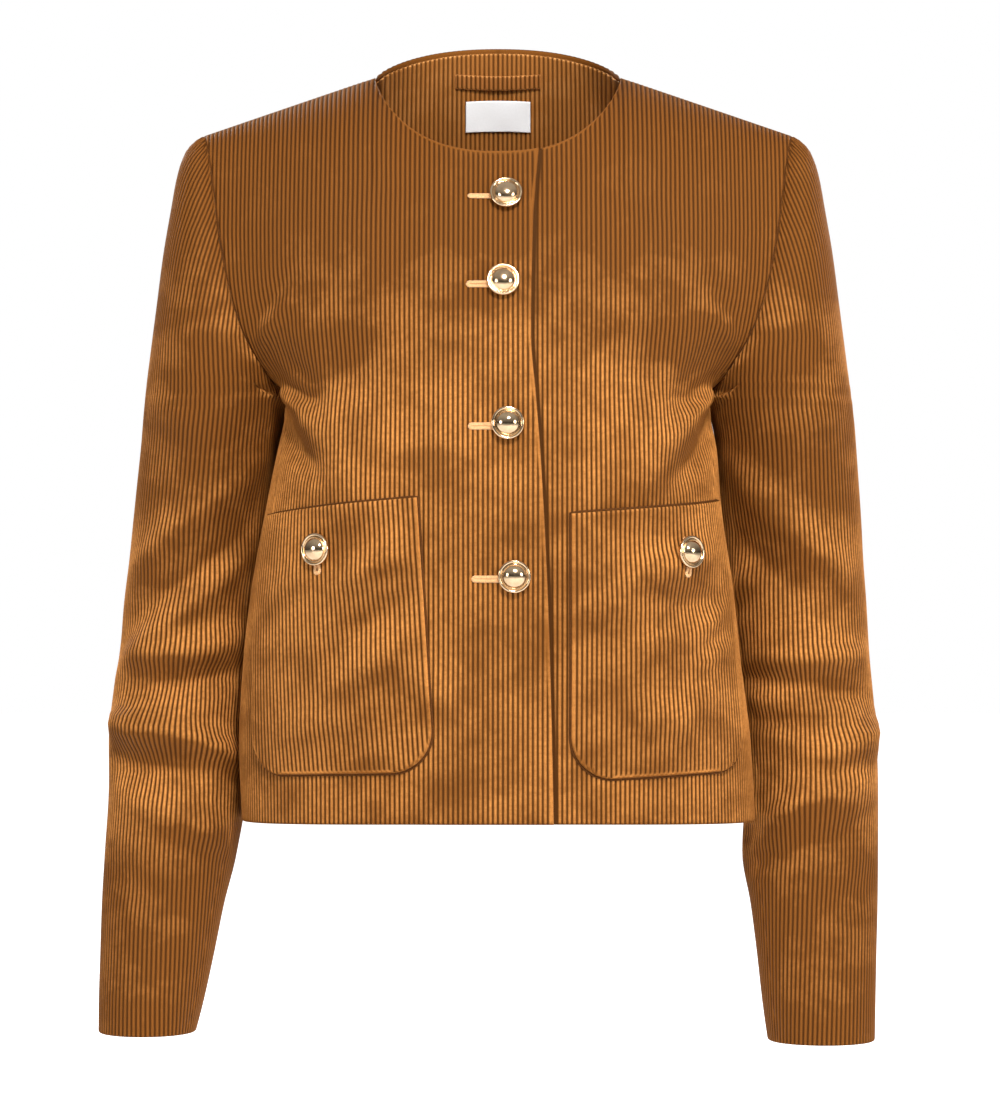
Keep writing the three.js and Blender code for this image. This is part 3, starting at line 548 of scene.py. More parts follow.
def firm_body_surface(side, half, across, level):
    plan = body_section(side, half, level)
    place = along_section(plan, across)
    x, y = place[:, 0], place[:, 1]
    centre_height = HEM_HEIGHT + HEM_RISE_AT_CENTRE + np.minimum(level, YOKE_LEVEL)
    z = mix(centre_height, plan["sideHeight"], (x / plan["reach"]) ** 2)
    t = np.maximum(level - YOKE_LEVEL, 0) / (SHOULDER_LEVEL - YOKE_LEVEL)
    top_y, top_z, lean = top_edge(half, x)
    chord = np.hypot(top_y - y, top_z - z)
    start_y = -half.sign * half.lean * chord
    start_z = math.sqrt(1 - half.lean**2) * chord
    end_y = -half.sign * lean * chord
    end_z = np.sqrt(1 - lean**2) * chord
    return np.stack([
        side.sign * x,
        np.where(t > 0, hermite(y, start_y, top_y, end_y, t), y),
        np.where(t > 0, hermite(z, start_z, top_z, end_z, t), z),
    ], axis=-1)


def neck_softened(surface):
    """Below the neck point a place is the mean of those beside it, so that no crease runs down"""
    def soft(side, half, across, level):
        place = surface(side, half, across, level)
        foot, head = (YOKE_LEVEL + past for past in NECK_SOFT_RAMP)
        away = (np.abs(place[:, 0]) - NECK_HALF_WIDTH) / NECK_SOFT_WIDTH
        share = np.exp(-(away**2)) * smoothstep(foot, head, level)
        share = share * smoothstep(SHOULDER_LEVEL, SHOULDER_LEVEL + NECK_SOFT_RAMP[0], level)
        there = share > LEAST_SHARE
        if there.any():
            mean = mean_place(surface, side, half, across[there], level[there], NECK_SOFT_REACH, 0)
            place[there] = mix(place[there], mean, share[there][:, None])
        return place
    return soft


body_surface = neck_softened(softened(firm_body_surface, body_edge))


@by_level
def sleeve_section(side, half, level):
    row = side.sleeve(level)
    hold = half.sign * row["halfDepth"] * BULGE
    low = [
        pairs(row["outer"], row["middle"]),
        pairs(row["outer"], row["middle"] + hold),
        pairs(row["inner"], row["middle"] + hold),
        pairs(row["inner"], row["middle"]),
    ]
    cap = SLEEVE_CAP(level)
    high_level = np.maximum(level, UNDERARM_LEVEL)
    edge = body_place(side, half, body_edge(side, half, high_level), high_level)[0]
    outer = CAP_REACH(cap["outerHeight"])["reach"]
    inner = edge[:, 0] * side.sign
    middle = mix(CAP_MIDDLE, 0, (high_level - UNDERARM_LEVEL) / (SHOULDER_LEVEL - UNDERARM_LEVEL))
    turn = np.radians(cap["edgeTurn"])
    hold = cap["edgeHold"]
    high = [
        pairs(outer, middle),
        pairs(outer, middle + half.sign * cap["outerHold"]),
        pairs(inner + hold * np.cos(turn), edge[:, 1] + half.sign * hold * np.sin(turn)),
        pairs(inner, edge[:, 1]),
    ]
    below = level <= UNDERARM_LEVEL
    plan = section([np.where(below[:, None], a, b) for a, b in zip(low, high)])
    plan["outerHeight"] = np.where(below, HEM_HEIGHT + level, cap["outerHeight"])
    plan["edgeHeight"] = np.where(below, HEM_HEIGHT + level, edge[:, 2])
    return plan


def sleeve_edge(side, half, level):
    return sleeve_section(side, half, np.asarray(level, float))["length"]


def firm_sleeve_surface(side, half, across, level):
    plan = sleeve_section(side, half, level)
    place = along_section(plan, across)
    z = mix(plan["outerHeight"], plan["edgeHeight"], np.minimum(across / plan["length"], CAP_OVERRUN))
    return np.stack([side.sign * place[:, 0], place[:, 1], z], axis=-1)


sleeve_surface = softened(firm_sleeve_surface, sleeve_edge)


def normal_of(surface, turned, side, half, across, level):
    low = level - NORMAL_STEP
    high = np.minimum(level + NORMAL_STEP, SHOULDER_LEVEL)
    left = surface(side, half, np.maximum(across - NORMAL_STEP, 0), level)
    right = surface(side, half, across + NORMAL_STEP, level)
    below = surface(side, half, across, low)
    above = surface(side, half, across, high)
    normal = np.cross(right - left, above - below)
    normal /= np.linalg.norm(normal, axis=1)[:, None]
    return normal * (turned * side.sign * half.sign)


def body_place(side, half, across, level):
    """Point and normal of the body; a place past the centre line lies on the other side"""
    point = np.zeros((len(across), 3))
    normal = np.zeros((len(across), 3))
    for there, own in ((across >= 0, side), (across < 0, other(side))):
        if not there.any():
            continue
        a, v = np.abs(across[there]), level[there]
        calm = smoothstep(0, CALM_BODY, body_edge(own, half, v) - a)
        calm = calm * smoothstep(SHOULDER_LEVEL, YOKE_LEVEL, v)
        height = calm * fold_height(half.folds, own.sign * a, v)
        normal[there] = normal_of(body_surface, -1, own, half, a, v)
        point[there] = body_surface(own, half, a, v) + normal[there] * height[:, None]
    return point, normal


def sleeve_place(side, half, across, level):
    away = sleeve_section(side, half, level)["length"] - across
    height = smoothstep(SHOULDER_LEVEL, YOKE_LEVEL, level) * smoothstep(0, CALM_SLEEVE, away)
    height = height * fold_height(side.folds, half.sign * across, level)
    for at, reach, rise in CAP_PUCKERS:
        pucker = rise * np.exp(-(((level - at) / PUCKER_WIDTH) ** 2)) * np.exp(-((away / reach) ** 2))
        height += pucker * smoothstep(0, PUCKER_WIDTH, away)
    normal = normal_of(sleeve_surface, 1, side, half, across, level)
    return sleeve_surface(side, half, across, level) + normal * height[:, None], normal


def lap_raise(side, half, across):
    if side is not RIGHT or half is not FRONT:
        return np.zeros_like(across)
    return LAP_RAISE * (1 - smoothstep(*LAP_RAMP, across))


# Materials

def principled(name, roughness, metallic=0.0):
    material = bpy.data.materials.new(name)
    material.use_nodes = True
    shader = material.node_tree.nodes["Principled BSDF"]
    shader.inputs["Roughness"].default_value = roughness
    shader.inputs["Metallic"].default_value = metallic
    return material, material.node_tree, shader


def node(tree, kind, values=None, **settings):
    made = tree.nodes.new(kind)
    for name, value in settings.items():
        setattr(made, name, value)
    for name, value in (values or {}).items():
        made.inputs[name].default_value = value
    return made


def mixed(tree, factor, a, b):
    """A colour mix; factor, a and b are values or sockets"""
    made = node(tree, "ShaderNodeMix", data_type="RGBA")
    for socket, value in zip((made.inputs[0], made.inputs[6], made.inputs[7]), (factor, a, b)):
        if isinstance(value, bpy.types.NodeSocket):
            tree.links.new(value, socket)
        else:
            socket.default_value = (*value, 1)
    return made.outputs[2]


def noise(tree, position, scale, stretch=(1, 1, 1), detail=3.0, rough=0.5):
    mapping = node(tree, "ShaderNodeMapping", {"Scale": stretch})
    tree.links.new(position, mapping.inputs["Vector"])
    made = node(tree, "ShaderNodeTexNoise", {"Scale": scale, "Detail": detail, "Roughness": rough})
    tree.links.new(mapping.outputs[0], made.inputs["Vector"])
    return made.outputs[0]


def part_z(tree, vector):
    made = node(tree, "ShaderNodeSeparateXYZ")
    tree.links.new(vector, made.inputs[0])
    return made.outputs["Z"]


def bumpy(tree, shader, height, strength, distance):
    bump = node(tree, "ShaderNodeBump", {"Strength": strength, "Distance": distance})
    tree.links.new(height, bump.inputs["Height"])
    tree.links.new(bump.outputs[0], shader.inputs["Normal"])


def ramped(tree, value, low, high, to_low=0.0, to_high=1.0):
    """A smooth step of a value from to_low, where it is low, to to_high, where it is high"""
    made = node(tree, "ShaderNodeMapRange", {
        "From Min": low, "From Max": high, "To Min": to_low, "To Max": to_high,
    }, interpolation_type="SMOOTHSTEP")
    tree.links.new(value, made.inputs["Value"])
    return made.outputs[0]


PILE_TINT = (1.0, 0.62, 0.28, 1)
# Heights in metres where the colour darkens: across the chest and down inside the neck as painted shade, and
# towards the hem
CHEST_SHADE_RAMP, HEM_RAMP, NECK_SHADE_RAMP = (-0.25, -0.10), (-0.50, -0.58), (-0.02, -0.08)


def corduroy(name, ridge, deep, groove, chest=1.0, inside=0.0):
    """Brushed wales: pale ridges, dark grooves with painted shade in them, a mottled pile, and painted shade
    where the cloth looks down
    """
    material, tree, shader = principled(name, 0.68)
    for socket, value in (
        ("Sheen Weight", 0.06),
        ("Sheen Roughness", 0.4),
        ("Sheen Tint", PILE_TINT),
        ("Specular IOR Level", 0.3),
        ("Specular Tint", PILE_TINT),
    ):
        shader.inputs[socket].default_value = value
    coordinates = node(tree, "ShaderNodeTexCoord")
    position = coordinates.outputs["Object"]
    wale = node(tree, "ShaderNodeAttribute", attribute_name="wale").outputs["Fac"]
    broad = noise(tree, position, 26, (1, 1, 1.2), 5.0, 0.62)
    fine = noise(tree, position, 210, (1, 1, 1.8), 4.0, 0.7)
    height = part_z(tree, position)
    # Painted shade: the colour darkens where the cloth's normal looks down, and more across the chest and
    # down inside the neck; it darkens towards the hem too, and the broad noise is the pile's own mottling
    mottle_and_shade = ramped(tree, part_z(tree, coordinates.outputs["Normal"]), -0.32, 0.2, 0.85, 0.0)
    for value, ramp, most in (
        (broad, (0.38, 0.68), 0.55),
        (height, CHEST_SHADE_RAMP, 0.95 * chest),
        (height, HEM_RAMP, 0.75 * chest),
        (height, NECK_SHADE_RAMP, inside),
    ):
        total = node(tree, "ShaderNodeMath", operation="ADD", use_clamp=True)
        tree.links.new(mottle_and_shade, total.inputs[0])
        tree.links.new(ramped(tree, value, *ramp, 0.0, most), total.inputs[1])
        mottle_and_shade = total.outputs[0]
    tone = mixed(tree, mottle_and_shade, ridge, deep)
    tone = mixed(tree, ramped(tree, fine, 0.35, 0.72, 0.0, 0.5), tone, deep)
    # The grooves take the darker colour of their ground cloth, with painted shade added
    colour = mixed(tree, ramped(tree, wale, 0.12, 1.0), groove, tone)
    tree.links.new(colour, shader.inputs["Base Color"])
    bumpy(tree, shader, noise(tree, position, 900, (1, 1, 0.55), 2.0, 0.7), 0.35, 0.0006)
    return material


def woven(name, colour, dark, scale, roughness, sheen=0.15, gloss=0.5):
    material, tree, shader = principled(name, roughness)
    position = node(tree, "ShaderNodeTexCoord").outputs["Object"]
    grain = noise(tree, position, scale, (1, 1, 0.4), 3.0, 0.6)
    tree.links.new(mixed(tree, ramped(tree, grain, 0.35, 0.7), colour, dark), shader.inputs["Base Color"])
    shader.inputs["Sheen Weight"].default_value = sheen
    shader.inputs["Specular IOR Level"].default_value = gloss
    bumpy(tree, shader, grain, 0.3, 0.0003)
    return material


def plated(name, colour, dark):
    material, tree, shader = principled(name, 0.13, 1.0)
    position = node(tree, "ShaderNodeTexCoord").outputs["Object"]
    cloud = noise(tree, position, 140, (1, 1, 1), 3.0, 0.6)
    tone = mixed(tree, ramped(tree, cloud, 0.4, 0.7, 0.0, 0.5), colour, dark)
    tree.links.new(tone, shader.inputs["Base Color"])
    tree.links.new(ramped(tree, cloud, 0.3, 0.7, 0.09, 0.2), shader.inputs["Roughness"])
    return material


# Colours of the ridge, of the ridge in its mottling and in painted shade, and of the groove
CORDUROY = corduroy("corduroy", (0.66, 0.262, 0.062), (0.20, 0.065, 0.010), (0.050, 0.013, 0.001))
# The facing's colour darkens down inside the neck: painted shade
FACING_CORDUROY = corduroy(
    "facing_corduroy", (0.80, 0.37, 0.12), (0.40, 0.15, 0.032), (0.11, 0.036, 0.007), 0.0, 0.7)
LOOP_CORDUROY = corduroy(
    "loop_corduroy", (0.72, 0.31, 0.09), (0.36, 0.13, 0.03), (0.08, 0.024, 0.004), 0.0)
LABEL_CLOTH = woven("label_cloth", (1.0, 1.0, 1.0), (0.96, 0.96, 0.96), 1500, 0.45)
THREAD = woven("tan_thread", (0.84, 0.48, 0.22), (0.50, 0.23, 0.07), 2600, 0.7)
# Near-black cord: painted shadow round the pockets and painted shade in the armhole seams
SHADOW_THREAD = woven("shadow_brown", (0.12, 0.04, 0.008), (0.06, 0.02, 0.004), 2600, 0.9, 0.0, 0.1)
METAL = plated("button_metal", (0.80, 0.58, 0.36), (0.50, 0.32, 0.17))


# Closed cloth

# Points closer together than this, in metres, are one; each axis takes this many bits of a key
MERGED = 0.004 * MM
KEY_BITS = 20


def wale_shape(phase):
    """Height and shade of a wale, 0 in the groove and 1 on the ridge"""
    return np.abs(np.sin(np.pi * phase)) ** WALE_ROUNDNESS


def edge_drop(distance, radius, depth):
    t = np.clip(1 - distance / radius, 0, 1)
    return depth * (1 - np.sqrt(1 - t * t))


def triangles(a, b, c):
    return np.stack([a, b, c], axis=-1).reshape(-1, 3)


def quads(a, b, c, d):
    return [triangles(a, b, c), triangles(a, c, d)]


class Cloth:
    """One closed piece: outer skins with their wales, coarse inner skins, and the edges between"""

    def __init__(self):
        self.points, self.shades, self.faces, self.count = [], [], [], 0
        self.area, self.width, self.length = 0.0, 0.0, 0.0

    def layer(self, points, shade, columns, start, stop):
        """Adds a grid of points and gives their numbers; past start and stop the last one counts again"""
        wide = len(columns)
        first = np.clip((columns <= start[:, None]).sum(1) - 1, 0, wide - 1)
        last = np.clip(wide - (columns >= stop[:, None]).sum(1), 0, wide - 1)
        column = np.clip(np.arange(wide), first[:, None], last[:, None])
        number = self.count + np.arange(len(points))[:, None] * wide + column
        self.points.append(points.reshape(-1, 3))
        self.shades.append(np.broadcast_to(shade, points.shape[:-1]).reshape(-1))
        self.count += points.size // 3
        return number

    def measure(self, point, start, stop):
        """Adds to the flat cut, before any wales"""
        across = point[:-1, 1:] - point[:-1, :-1]
        along = point[1:, :-1] - point[:-1, :-1]
        self.area += float(np.linalg.norm(np.cross(across, along), axis=2).sum()) * MM * MM
        self.width += float((stop - start).max()) * MM
        runs = np.linalg.norm(np.diff(point, axis=0), axis=2).sum(0)
        self.length = max(self.length, float(runs.max()) * MM)

    def skin(self, place, rows, start, stop, edges, thickness=WALL, wales=True, painted_shadow=None):
        """A skin on the rows (levels) between start and stop (across, one for each row).

        place(across, level) gives points and normals; edges is the rounding at (start, stop,
        bottom, top), each a radius, a depth and perhaps the width of a rim without grooves.
        The last argument gives, from across and level, 1 where a shadow is painted: there the colour turns
        to the groove's and the wales sink.
        """
        columns = wale_columns(start.min(), stop.max())
        count, wide = len(rows), len(columns)
        level = np.repeat(rows, wide)
        across = np.clip(columns, start[:, None], stop[:, None])
        point, normal = (value.reshape(count, wide, 3) for value in place(across.reshape(-1), level))
        self.measure(point, start, stop)
        shade = wale_shape(across / WALE) if wales else np.ones_like(across)
        drop = np.zeros_like(across)
        inwards = (
            across - start[:, None],
            stop[:, None] - across,
            np.linalg.norm(point - point[:1], axis=2),
            np.linalg.norm(point - point[-1:], axis=2),
        )
        for distance, (radius, depth, *rim) in zip(inwards, edges):
            if radius:
                drop = np.maximum(drop, edge_drop(distance, radius, depth))
            for width in rim:
                shade = np.maximum(shade, 1 - smoothstep(width / 2, width, distance))
        # Painted shadow: the colour turns to the groove's and the wales sink
        if painted_shadow:
            shade = shade * (1 - painted_shadow(across, level.reshape(count, wide)))
        outer = point + normal * (WALE_HEIGHT * (shade - 1) - drop)[..., None]
        o = self.layer(outer, shade, columns, start, stop)

        coarse = np.unique(np.concatenate([np.arange(0, wide, WALE_COLUMNS), [wide - 1]]))
        sink = np.minimum(drop[:, coarse], thickness / 3)
        inner = point[:, coarse] - normal[:, coarse] * (thickness - sink)[..., None]
        i = self.layer(inner, 1.0, columns[coarse], start, stop)

        faces = quads(o[:-1, :-1], o[:-1, 1:], o[1:, 1:], o[1:, :-1])
        faces += quads(i[:-1, :-1], i[1:, :-1], i[1:, 1:], i[:-1, 1:])
        faces += quads(o[:-1, 0], o[1:, 0], i[1:, 0], i[:-1, 0])
        faces += quads(o[:-1, -1], i[:-1, -1], i[1:, -1], o[1:, -1])
        for row, order in ((0, 1), (-1, -1)):
            for c, (low, high) in enumerate(zip(coarse[:-1], coarse[1:])):
                middle = (low + high) // 2
                a, b = o[row, low:middle], o[row, low + 1:middle + 1]
                d, e = o[row, middle:high], o[row, middle + 1:high + 1]
                near, far = np.full_like(a, i[row, c]), np.full_like(d, i[row, c + 1])
                centre = (o[row, middle:middle + 1], i[row, c:c + 1], i[row, c + 1:c + 2])
                for face in ((b, a, near), (e, d, far), centre):
                    faces.append(triangles(*face[::order]))
        # The faces turn outwards, the way that the normals point.
        side_way = outer[1:, 1:] - outer[:-1, :-1]
        other_way = outer[1:, :-1] - outer[:-1, 1:]
        if (np.cross(side_way, other_way) * normal[:-1, :-1]).sum() < 0:
            faces = [face[:, ::-1] for face in faces]
        self.faces += faces

    def finish(self, node_name, material=CORDUROY):
        """Makes the piece: what meets is merged, then faces of no area and points of no face go"""
        points = np.concatenate(self.points) * MM
        cells = np.round(points / MERGED).astype(np.int64) + (1 << (KEY_BITS - 1))
        keys = (cells[:, 0] << (2 * KEY_BITS)) + (cells[:, 1] << KEY_BITS) + cells[:, 2]
        _, kept, merged = np.unique(keys, return_index=True, return_inverse=True)
        faces = merged.reshape(-1)[np.concatenate(self.faces)]
        a, b, c = faces.T
        used, faces = np.unique(faces[(a != b) & (b != c) & (c != a)], return_inverse=True)
        kept = kept[used]
        shades = np.concatenate(self.shades)[kept]
        piece = mesh_object(
            f"cloth_{node_name}", points[kept], faces.reshape(-1, 3), material, node_name, shades)


def mesh_object(name, points, faces, material, node_name, shades=None):
    mesh = bpy.data.meshes.new(name)
    mesh.from_pydata(points.tolist(), [], faces.tolist(), shade_flat=False)
    if shades is not None:
        attribute = mesh.attributes.new("wale", "FLOAT", "POINT")
        attribute.data.foreach_set("value", shades.astype(np.float32))
    mesh.materials.append(material)
    mesh.validate()
    piece = bpy.data.objects.new(name, mesh)
    bpy.context.scene.collection.objects.link(piece)
    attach(piece, ROOT)
    if node_name:
        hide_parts(node_name)
    return piece


# Levels that all the pieces of the body and the sleeves share, so that their seams follow one line
SHARED_LEVELS = np.concatenate([
    np.arange(ARMHOLE_LEVELS[0], min(CUFF_LEVEL.values()), -ROW_STEP)[::-1],
    np.arange(ARMHOLE_LEVELS[0] + ARMHOLE_ROW_STEP, ARMHOLE_LEVELS[1], ARMHOLE_ROW_STEP),
    np.arange(ARMHOLE_LEVELS[1], SHOULDER_LEVEL, ROW_STEP),
])


def rows_between(low, high, round_low=True, round_high=True, step=None):
    """Levels from low to high, closer together beside a rounded edge"""
    feet = np.array(EDGE_STEPS if round_low else EDGE_STEPS[:1])
    tops = np.array(EDGE_STEPS if round_high else EDGE_STEPS[:1])
    first, last = low + feet[-1], high - tops[-1]
    if step:
        middle = np.linspace(first, last, max(round((last - first) / step), 1) + 1)
    else:
        middle = SHARED_LEVELS[(SHARED_LEVELS > first + 1) & (SHARED_LEVELS < last - 1)]
    return np.unique(np.concatenate([low + feet, middle, high - tops]))


def wale_columns(low, high):
    """Across values on the wales' own grid that cover low to high"""
    step = WALE / WALE_COLUMNS
    first = math.floor(low / WALE) * WALE_COLUMNS
    last = math.ceil(high / WALE) * WALE_COLUMNS
    return np.arange(first, last + 1) * step


# Body pieces: each edge is a radius, a depth and perhaps the width of a rim without grooves

SEAM_GAP = -0.1
PLAIN = (0, 0)
SEAM = (SEAM_ROUND, 0.7)
TURNED = (EDGE_ROUND, 0.8)
LAP_TURNED = (EDGE_ROUND, 0.8, 2.6)
NECK_TURNED = (EDGE_ROUND, 0.6, 2.2)
CAP_TURNED = (2, 0.6)
POCKET_TURNED = (1.2, 0.7, 2.4)
# Painted shadow beside the lap edge: how far past the edge it lies and how wide it is
LAP_SHADOW_PAST, LAP_SHADOW_WIDTH = 1.4, 1.5
NECK_TOP = SHOULDER_LEVEL - 0.05
# Where the seams' two sides meet in a point, at the front and the back
SIDE_PANEL_TIPS = (320.7, 326.7)
UNDER_SLEEVE_TIPS = (332.7, 351.7)


def seam_at(edge, seam, side, half, rows, into):
    return edge(side, half, rows) - seam(rows)["inset"] + into * SEAM_GAP


def laid_on(side, half, across, level, away=0.0):
    """A place on a body panel, or at a distance out from it, and the panel's normal"""
    point, normal = body_place(side, half, across, level)
    return point + normal * (lap_raise(side, half, across) + away)[:, None], normal


# Painted shadow on the left front, just past the right front's lap edge
def lap_shadow(across, level):
    away = (across - LAP_EDGE(level)["past"] - LAP_SHADOW_PAST) / LAP_SHADOW_WIDTH
    return np.exp(-away * away)


def front_panel(side):
    rows = rows_between(0, NECK_TOP)
    on_top = side is RIGHT
    start = -LAP_EDGE(rows)["past"] if on_top else np.full(len(rows), -float(UNDERLAP))
    stop = seam_at(body_edge, FRONT_SEAM, side, FRONT, rows, -1)
    edges = (LAP_TURNED if on_top else TURNED, SEAM, TURNED, NECK_TURNED)
    cloth = Cloth()
    cloth.skin(partial(laid_on, side, FRONT), rows, start, stop, edges, painted_shadow=None if on_top else lap_shadow)
    cloth.finish(f"front_{side.name}")


def back_panel():
    rows = rows_between(0, NECK_TOP)
    cloth = Cloth()
    for side in SIDES:
        stop = seam_at(body_edge, BACK_SEAM, side, BACK, rows, -1)
        edges = (PLAIN, SEAM, TURNED, TURNED)
        cloth.skin(partial(laid_on, side, BACK), rows, np.zeros(len(rows)), stop, edges)
    cloth.finish("back")


def gusset(node_name, side, place, edge, seams, tips, foot):
    """A side panel or an under sleeve: two halves that narrow to a point above the underarm"""
    cloth = Cloth()
    for half, seam, tip in zip((FRONT, BACK), seams, tips):
        rows = rows_between(foot, tip, round_high=False)
        start = seam_at(edge, seam, side, half, rows, 1)
        stop = edge(side, half, rows) - np.where(rows > UNDERARM_LEVEL, SEAM_GAP, 0)
        cloth.skin(partial(place, side, half), rows, start, stop, (SEAM, PLAIN, TURNED, PLAIN))
    cloth.finish(f"{node_name}_{side.name}")


def side_panel(side):
    gusset("side_panel", side, laid_on, body_edge, (FRONT_SEAM, BACK_SEAM), SIDE_PANEL_TIPS, 0)


def upper_sleeve(side):
    rows = rows_between(CUFF_LEVEL[side.name], SHOULDER_LEVEL - 1)
    cloth = Cloth()
    for half, seam in ((FRONT, SLEEVE_FRONT_SEAM), (BACK, SLEEVE_BACK_SEAM)):
        stop = seam_at(sleeve_edge, seam, side, half, rows, -1)
        edges = (PLAIN, SEAM, TURNED, CAP_TURNED)
        cloth.skin(partial(sleeve_place, side, half), rows, np.zeros(len(rows)), stop, edges)
    cloth.finish(f"upper_sleeve_{side.name}")


def under_sleeve(side):
    seams = (SLEEVE_FRONT_SEAM, SLEEVE_BACK_SEAM)
    foot = CUFF_LEVEL[side.name]
    gusset("under_sleeve", side, sleeve_place, sleeve_edge, seams, UNDER_SLEEVE_TIPS, foot)


# Pockets: their wales run parallel to their sides

def pocket_frame(side):
    shape = POCKETS[side.name]
    width = shape["top_outer"][0] - shape["top_inner"][0]
    height = shape["top_inner"][1] - shape["bottom_inner"][1]
    return shape, float(width), float(height)


def pocket_spot(shape, along, up):
    """Across and level of a place on the pocket, from its shares of the width and the height"""
    inner = [mix(shape["bottom_inner"][i], shape["top_inner"][i], up) for i in (0, 1)]
    outer = [mix(shape["bottom_outer"][i], shape["top_outer"][i], up) for i in (0, 1)]
    return mix(inner[0], outer[0], along), mix(inner[1], outer[1], along)


def pocket(side):
    shape, width, height = pocket_frame(side)
    rows = np.unique(np.concatenate([
        EDGE_STEPS,
        np.linspace(EDGE_STEPS[-1], POCKET_CORNER, POCKET_CORNER_ROWS),
        rows_between(POCKET_CORNER, height, False, step=ROW_STEP),
    ]))
    low = np.maximum(POCKET_CORNER - rows, 0)
    inset = POCKET_CORNER - np.sqrt(np.maximum(POCKET_CORNER**2 - low**2, 0))

    def place(distance, up_by):
        along, up = distance / width, up_by / height
        belly = np.sin(np.pi * np.clip(along, 0, 1)) * np.sin(np.pi * np.clip(up, 0, 1)) ** 0.5
        calm = smoothstep(0, POCKET_CALM, np.minimum(distance, width - distance))
        calm = calm * smoothstep(0, POCKET_CALM, np.minimum(up_by, height - up_by))
        crease = fold_height(POCKET_CREASES[side.name], distance, up_by) * calm
        away = POCKET_GAP + WALL + POCKET_SAG * belly + np.maximum(crease, POCKET_DEEPEST_CREASE)
        return laid_on(side, FRONT, *pocket_spot(shape, along, up), away)

    cloth = Cloth()
    cloth.skin(place, rows, inset, width - inset, (POCKET_TURNED, POCKET_TURNED, POCKET_TURNED, TURNED))
    cloth.finish(f"pocket_{side.name}")


CORNER_STEPS, SIDE_STEPS = 14, 40
POCKET_SHADOW_PAST, POCKET_SHADOW_RADIUS, POCKET_SHADOW_AWAY = 0.55, 0.95, 0.5


def pocket_shadow_cord(side):
    """A dark cord just past the pocket's edge, all round it: painted shadow along its outline"""
    shape, width, height = pocket_frame(side)
    radius, past = POCKET_CORNER, POCKET_SHADOW_PAST
    turn = np.linspace(0, np.pi / 2, CORNER_STEPS)
    out = radius + past
    left = pairs(-past, np.linspace(height, radius, SIDE_STEPS)[:-1])
    half = np.concatenate([left, pairs(radius - out * np.cos(turn), radius - out * np.sin(turn))])
    foot = pairs(np.linspace(radius, width - radius, SIDE_STEPS)[1:-1], -past)
    mirrored = half[::-1] * (-1, 1) + (width, 0)
    top = pairs(np.linspace(width, 0, SIDE_STEPS)[1:-1], height + past)
    path = np.concatenate([half, foot, mirrored, top])
    spots = pocket_spot(shape, path[:, 0] / width, path[:, 1] / height)
    centre, normal = laid_on(side, FRONT, *spots, POCKET_SHADOW_AWAY)
    ring_of_thread(f"pocket_seam_{side.name}", centre, normal, POCKET_SHADOW_RADIUS)


# Inside the back neck

FACING_FOOT, FACING_SHARE, FACING_WALL = 433, 0.44, 1.4


def inside_back(side, across, level, away):
    """A place inside the back, facing the wearer"""
    point, normal = body_place(side, BACK, across, level)
    return point - normal * away, -normal


def facing():
    rows = rows_between(FACING_FOOT, SHOULDER_LEVEL - 2, step=ROW_STEP)
    cloth = Cloth()
    for side in SIDES:
        stop = seam_at(body_edge, BACK_SEAM, side, BACK, rows, -1) * FACING_SHARE
        place = partial(inside_back, side, away=2 * WALL + LAID_GAP)
        edges = (PLAIN, TURNED, TURNED, TURNED)
        cloth.skin(place, rows, np.zeros(len(rows)), stop, edges, FACING_WALL)
    cloth.finish("back_neck_facing", FACING_CORDUROY)


LOOP_HALF, LOOP_HEIGHT, LOOP_BELOW, LOOP_SAG, LOOP_WALL = 32, 10.4, 16.2, 2.5, 1.3
LOOP_AWAY, LOOP_BOW, LOOP_END = 1.3, 1.6, (0.6, 0.4)
LABEL_HALF, LABEL_HEIGHT, LABEL_BELOW, LABEL_WALL = 24, 23, 37, 0.8
LABEL_WAVE, LABEL_WAVE_LENGTH, LABEL_WAVE_START, LABEL_EDGE = 0.35, 5.1, 0.6, (0.7, 0.3)
ON_FACING = 2 * WALL + 2 * LAID_GAP


def neck_level(across, below):
    """Level on the back at a distance below the neckline, measured down the cloth"""
    level = np.zeros_like(across)
    for there, side in ((across < 0, RIGHT), (across >= 0, LEFT)):
        a = np.abs(across[there])
        top, foot = (
            body_surface(side, BACK, a, np.full(len(a), float(v))) for v in (SHOULDER_LEVEL, YOKE_LEVEL)
        )
        reach = np.linalg.norm(top - foot, axis=1)
        level[there] = SHOULDER_LEVEL - below[there] / reach * (SHOULDER_LEVEL - YOKE_LEVEL)
    return level


def on_facing(across, below, away):
    return inside_back(LEFT, across, neck_level(across, below), (ON_FACING + away)[:, None])


def strip(node_name, half_width, height, step, place, edges, thickness, material, wales=True):
    """A short strip of cloth on the facing"""
    rows = rows_between(0, height, step=step)
    stop = np.full(len(rows), float(half_width))
    cloth = Cloth()
    cloth.skin(place, rows, -stop, stop, edges, thickness, wales)
    cloth.finish(node_name, material)


def hanger_loop():
    def place(across, up):
        share = across / LOOP_HALF
        below = LOOP_BELOW + LOOP_HEIGHT - up + LOOP_SAG * (1 - share**2)
        return on_facing(across, below, LOOP_AWAY + LOOP_BOW * np.cos(np.pi / 2 * share) ** 2)

    edges = (LOOP_END, LOOP_END, TURNED, TURNED)
    strip("hanger_loop", LOOP_HALF, LOOP_HEIGHT, 1.5, place, edges, LOOP_WALL, LOOP_CORDUROY)


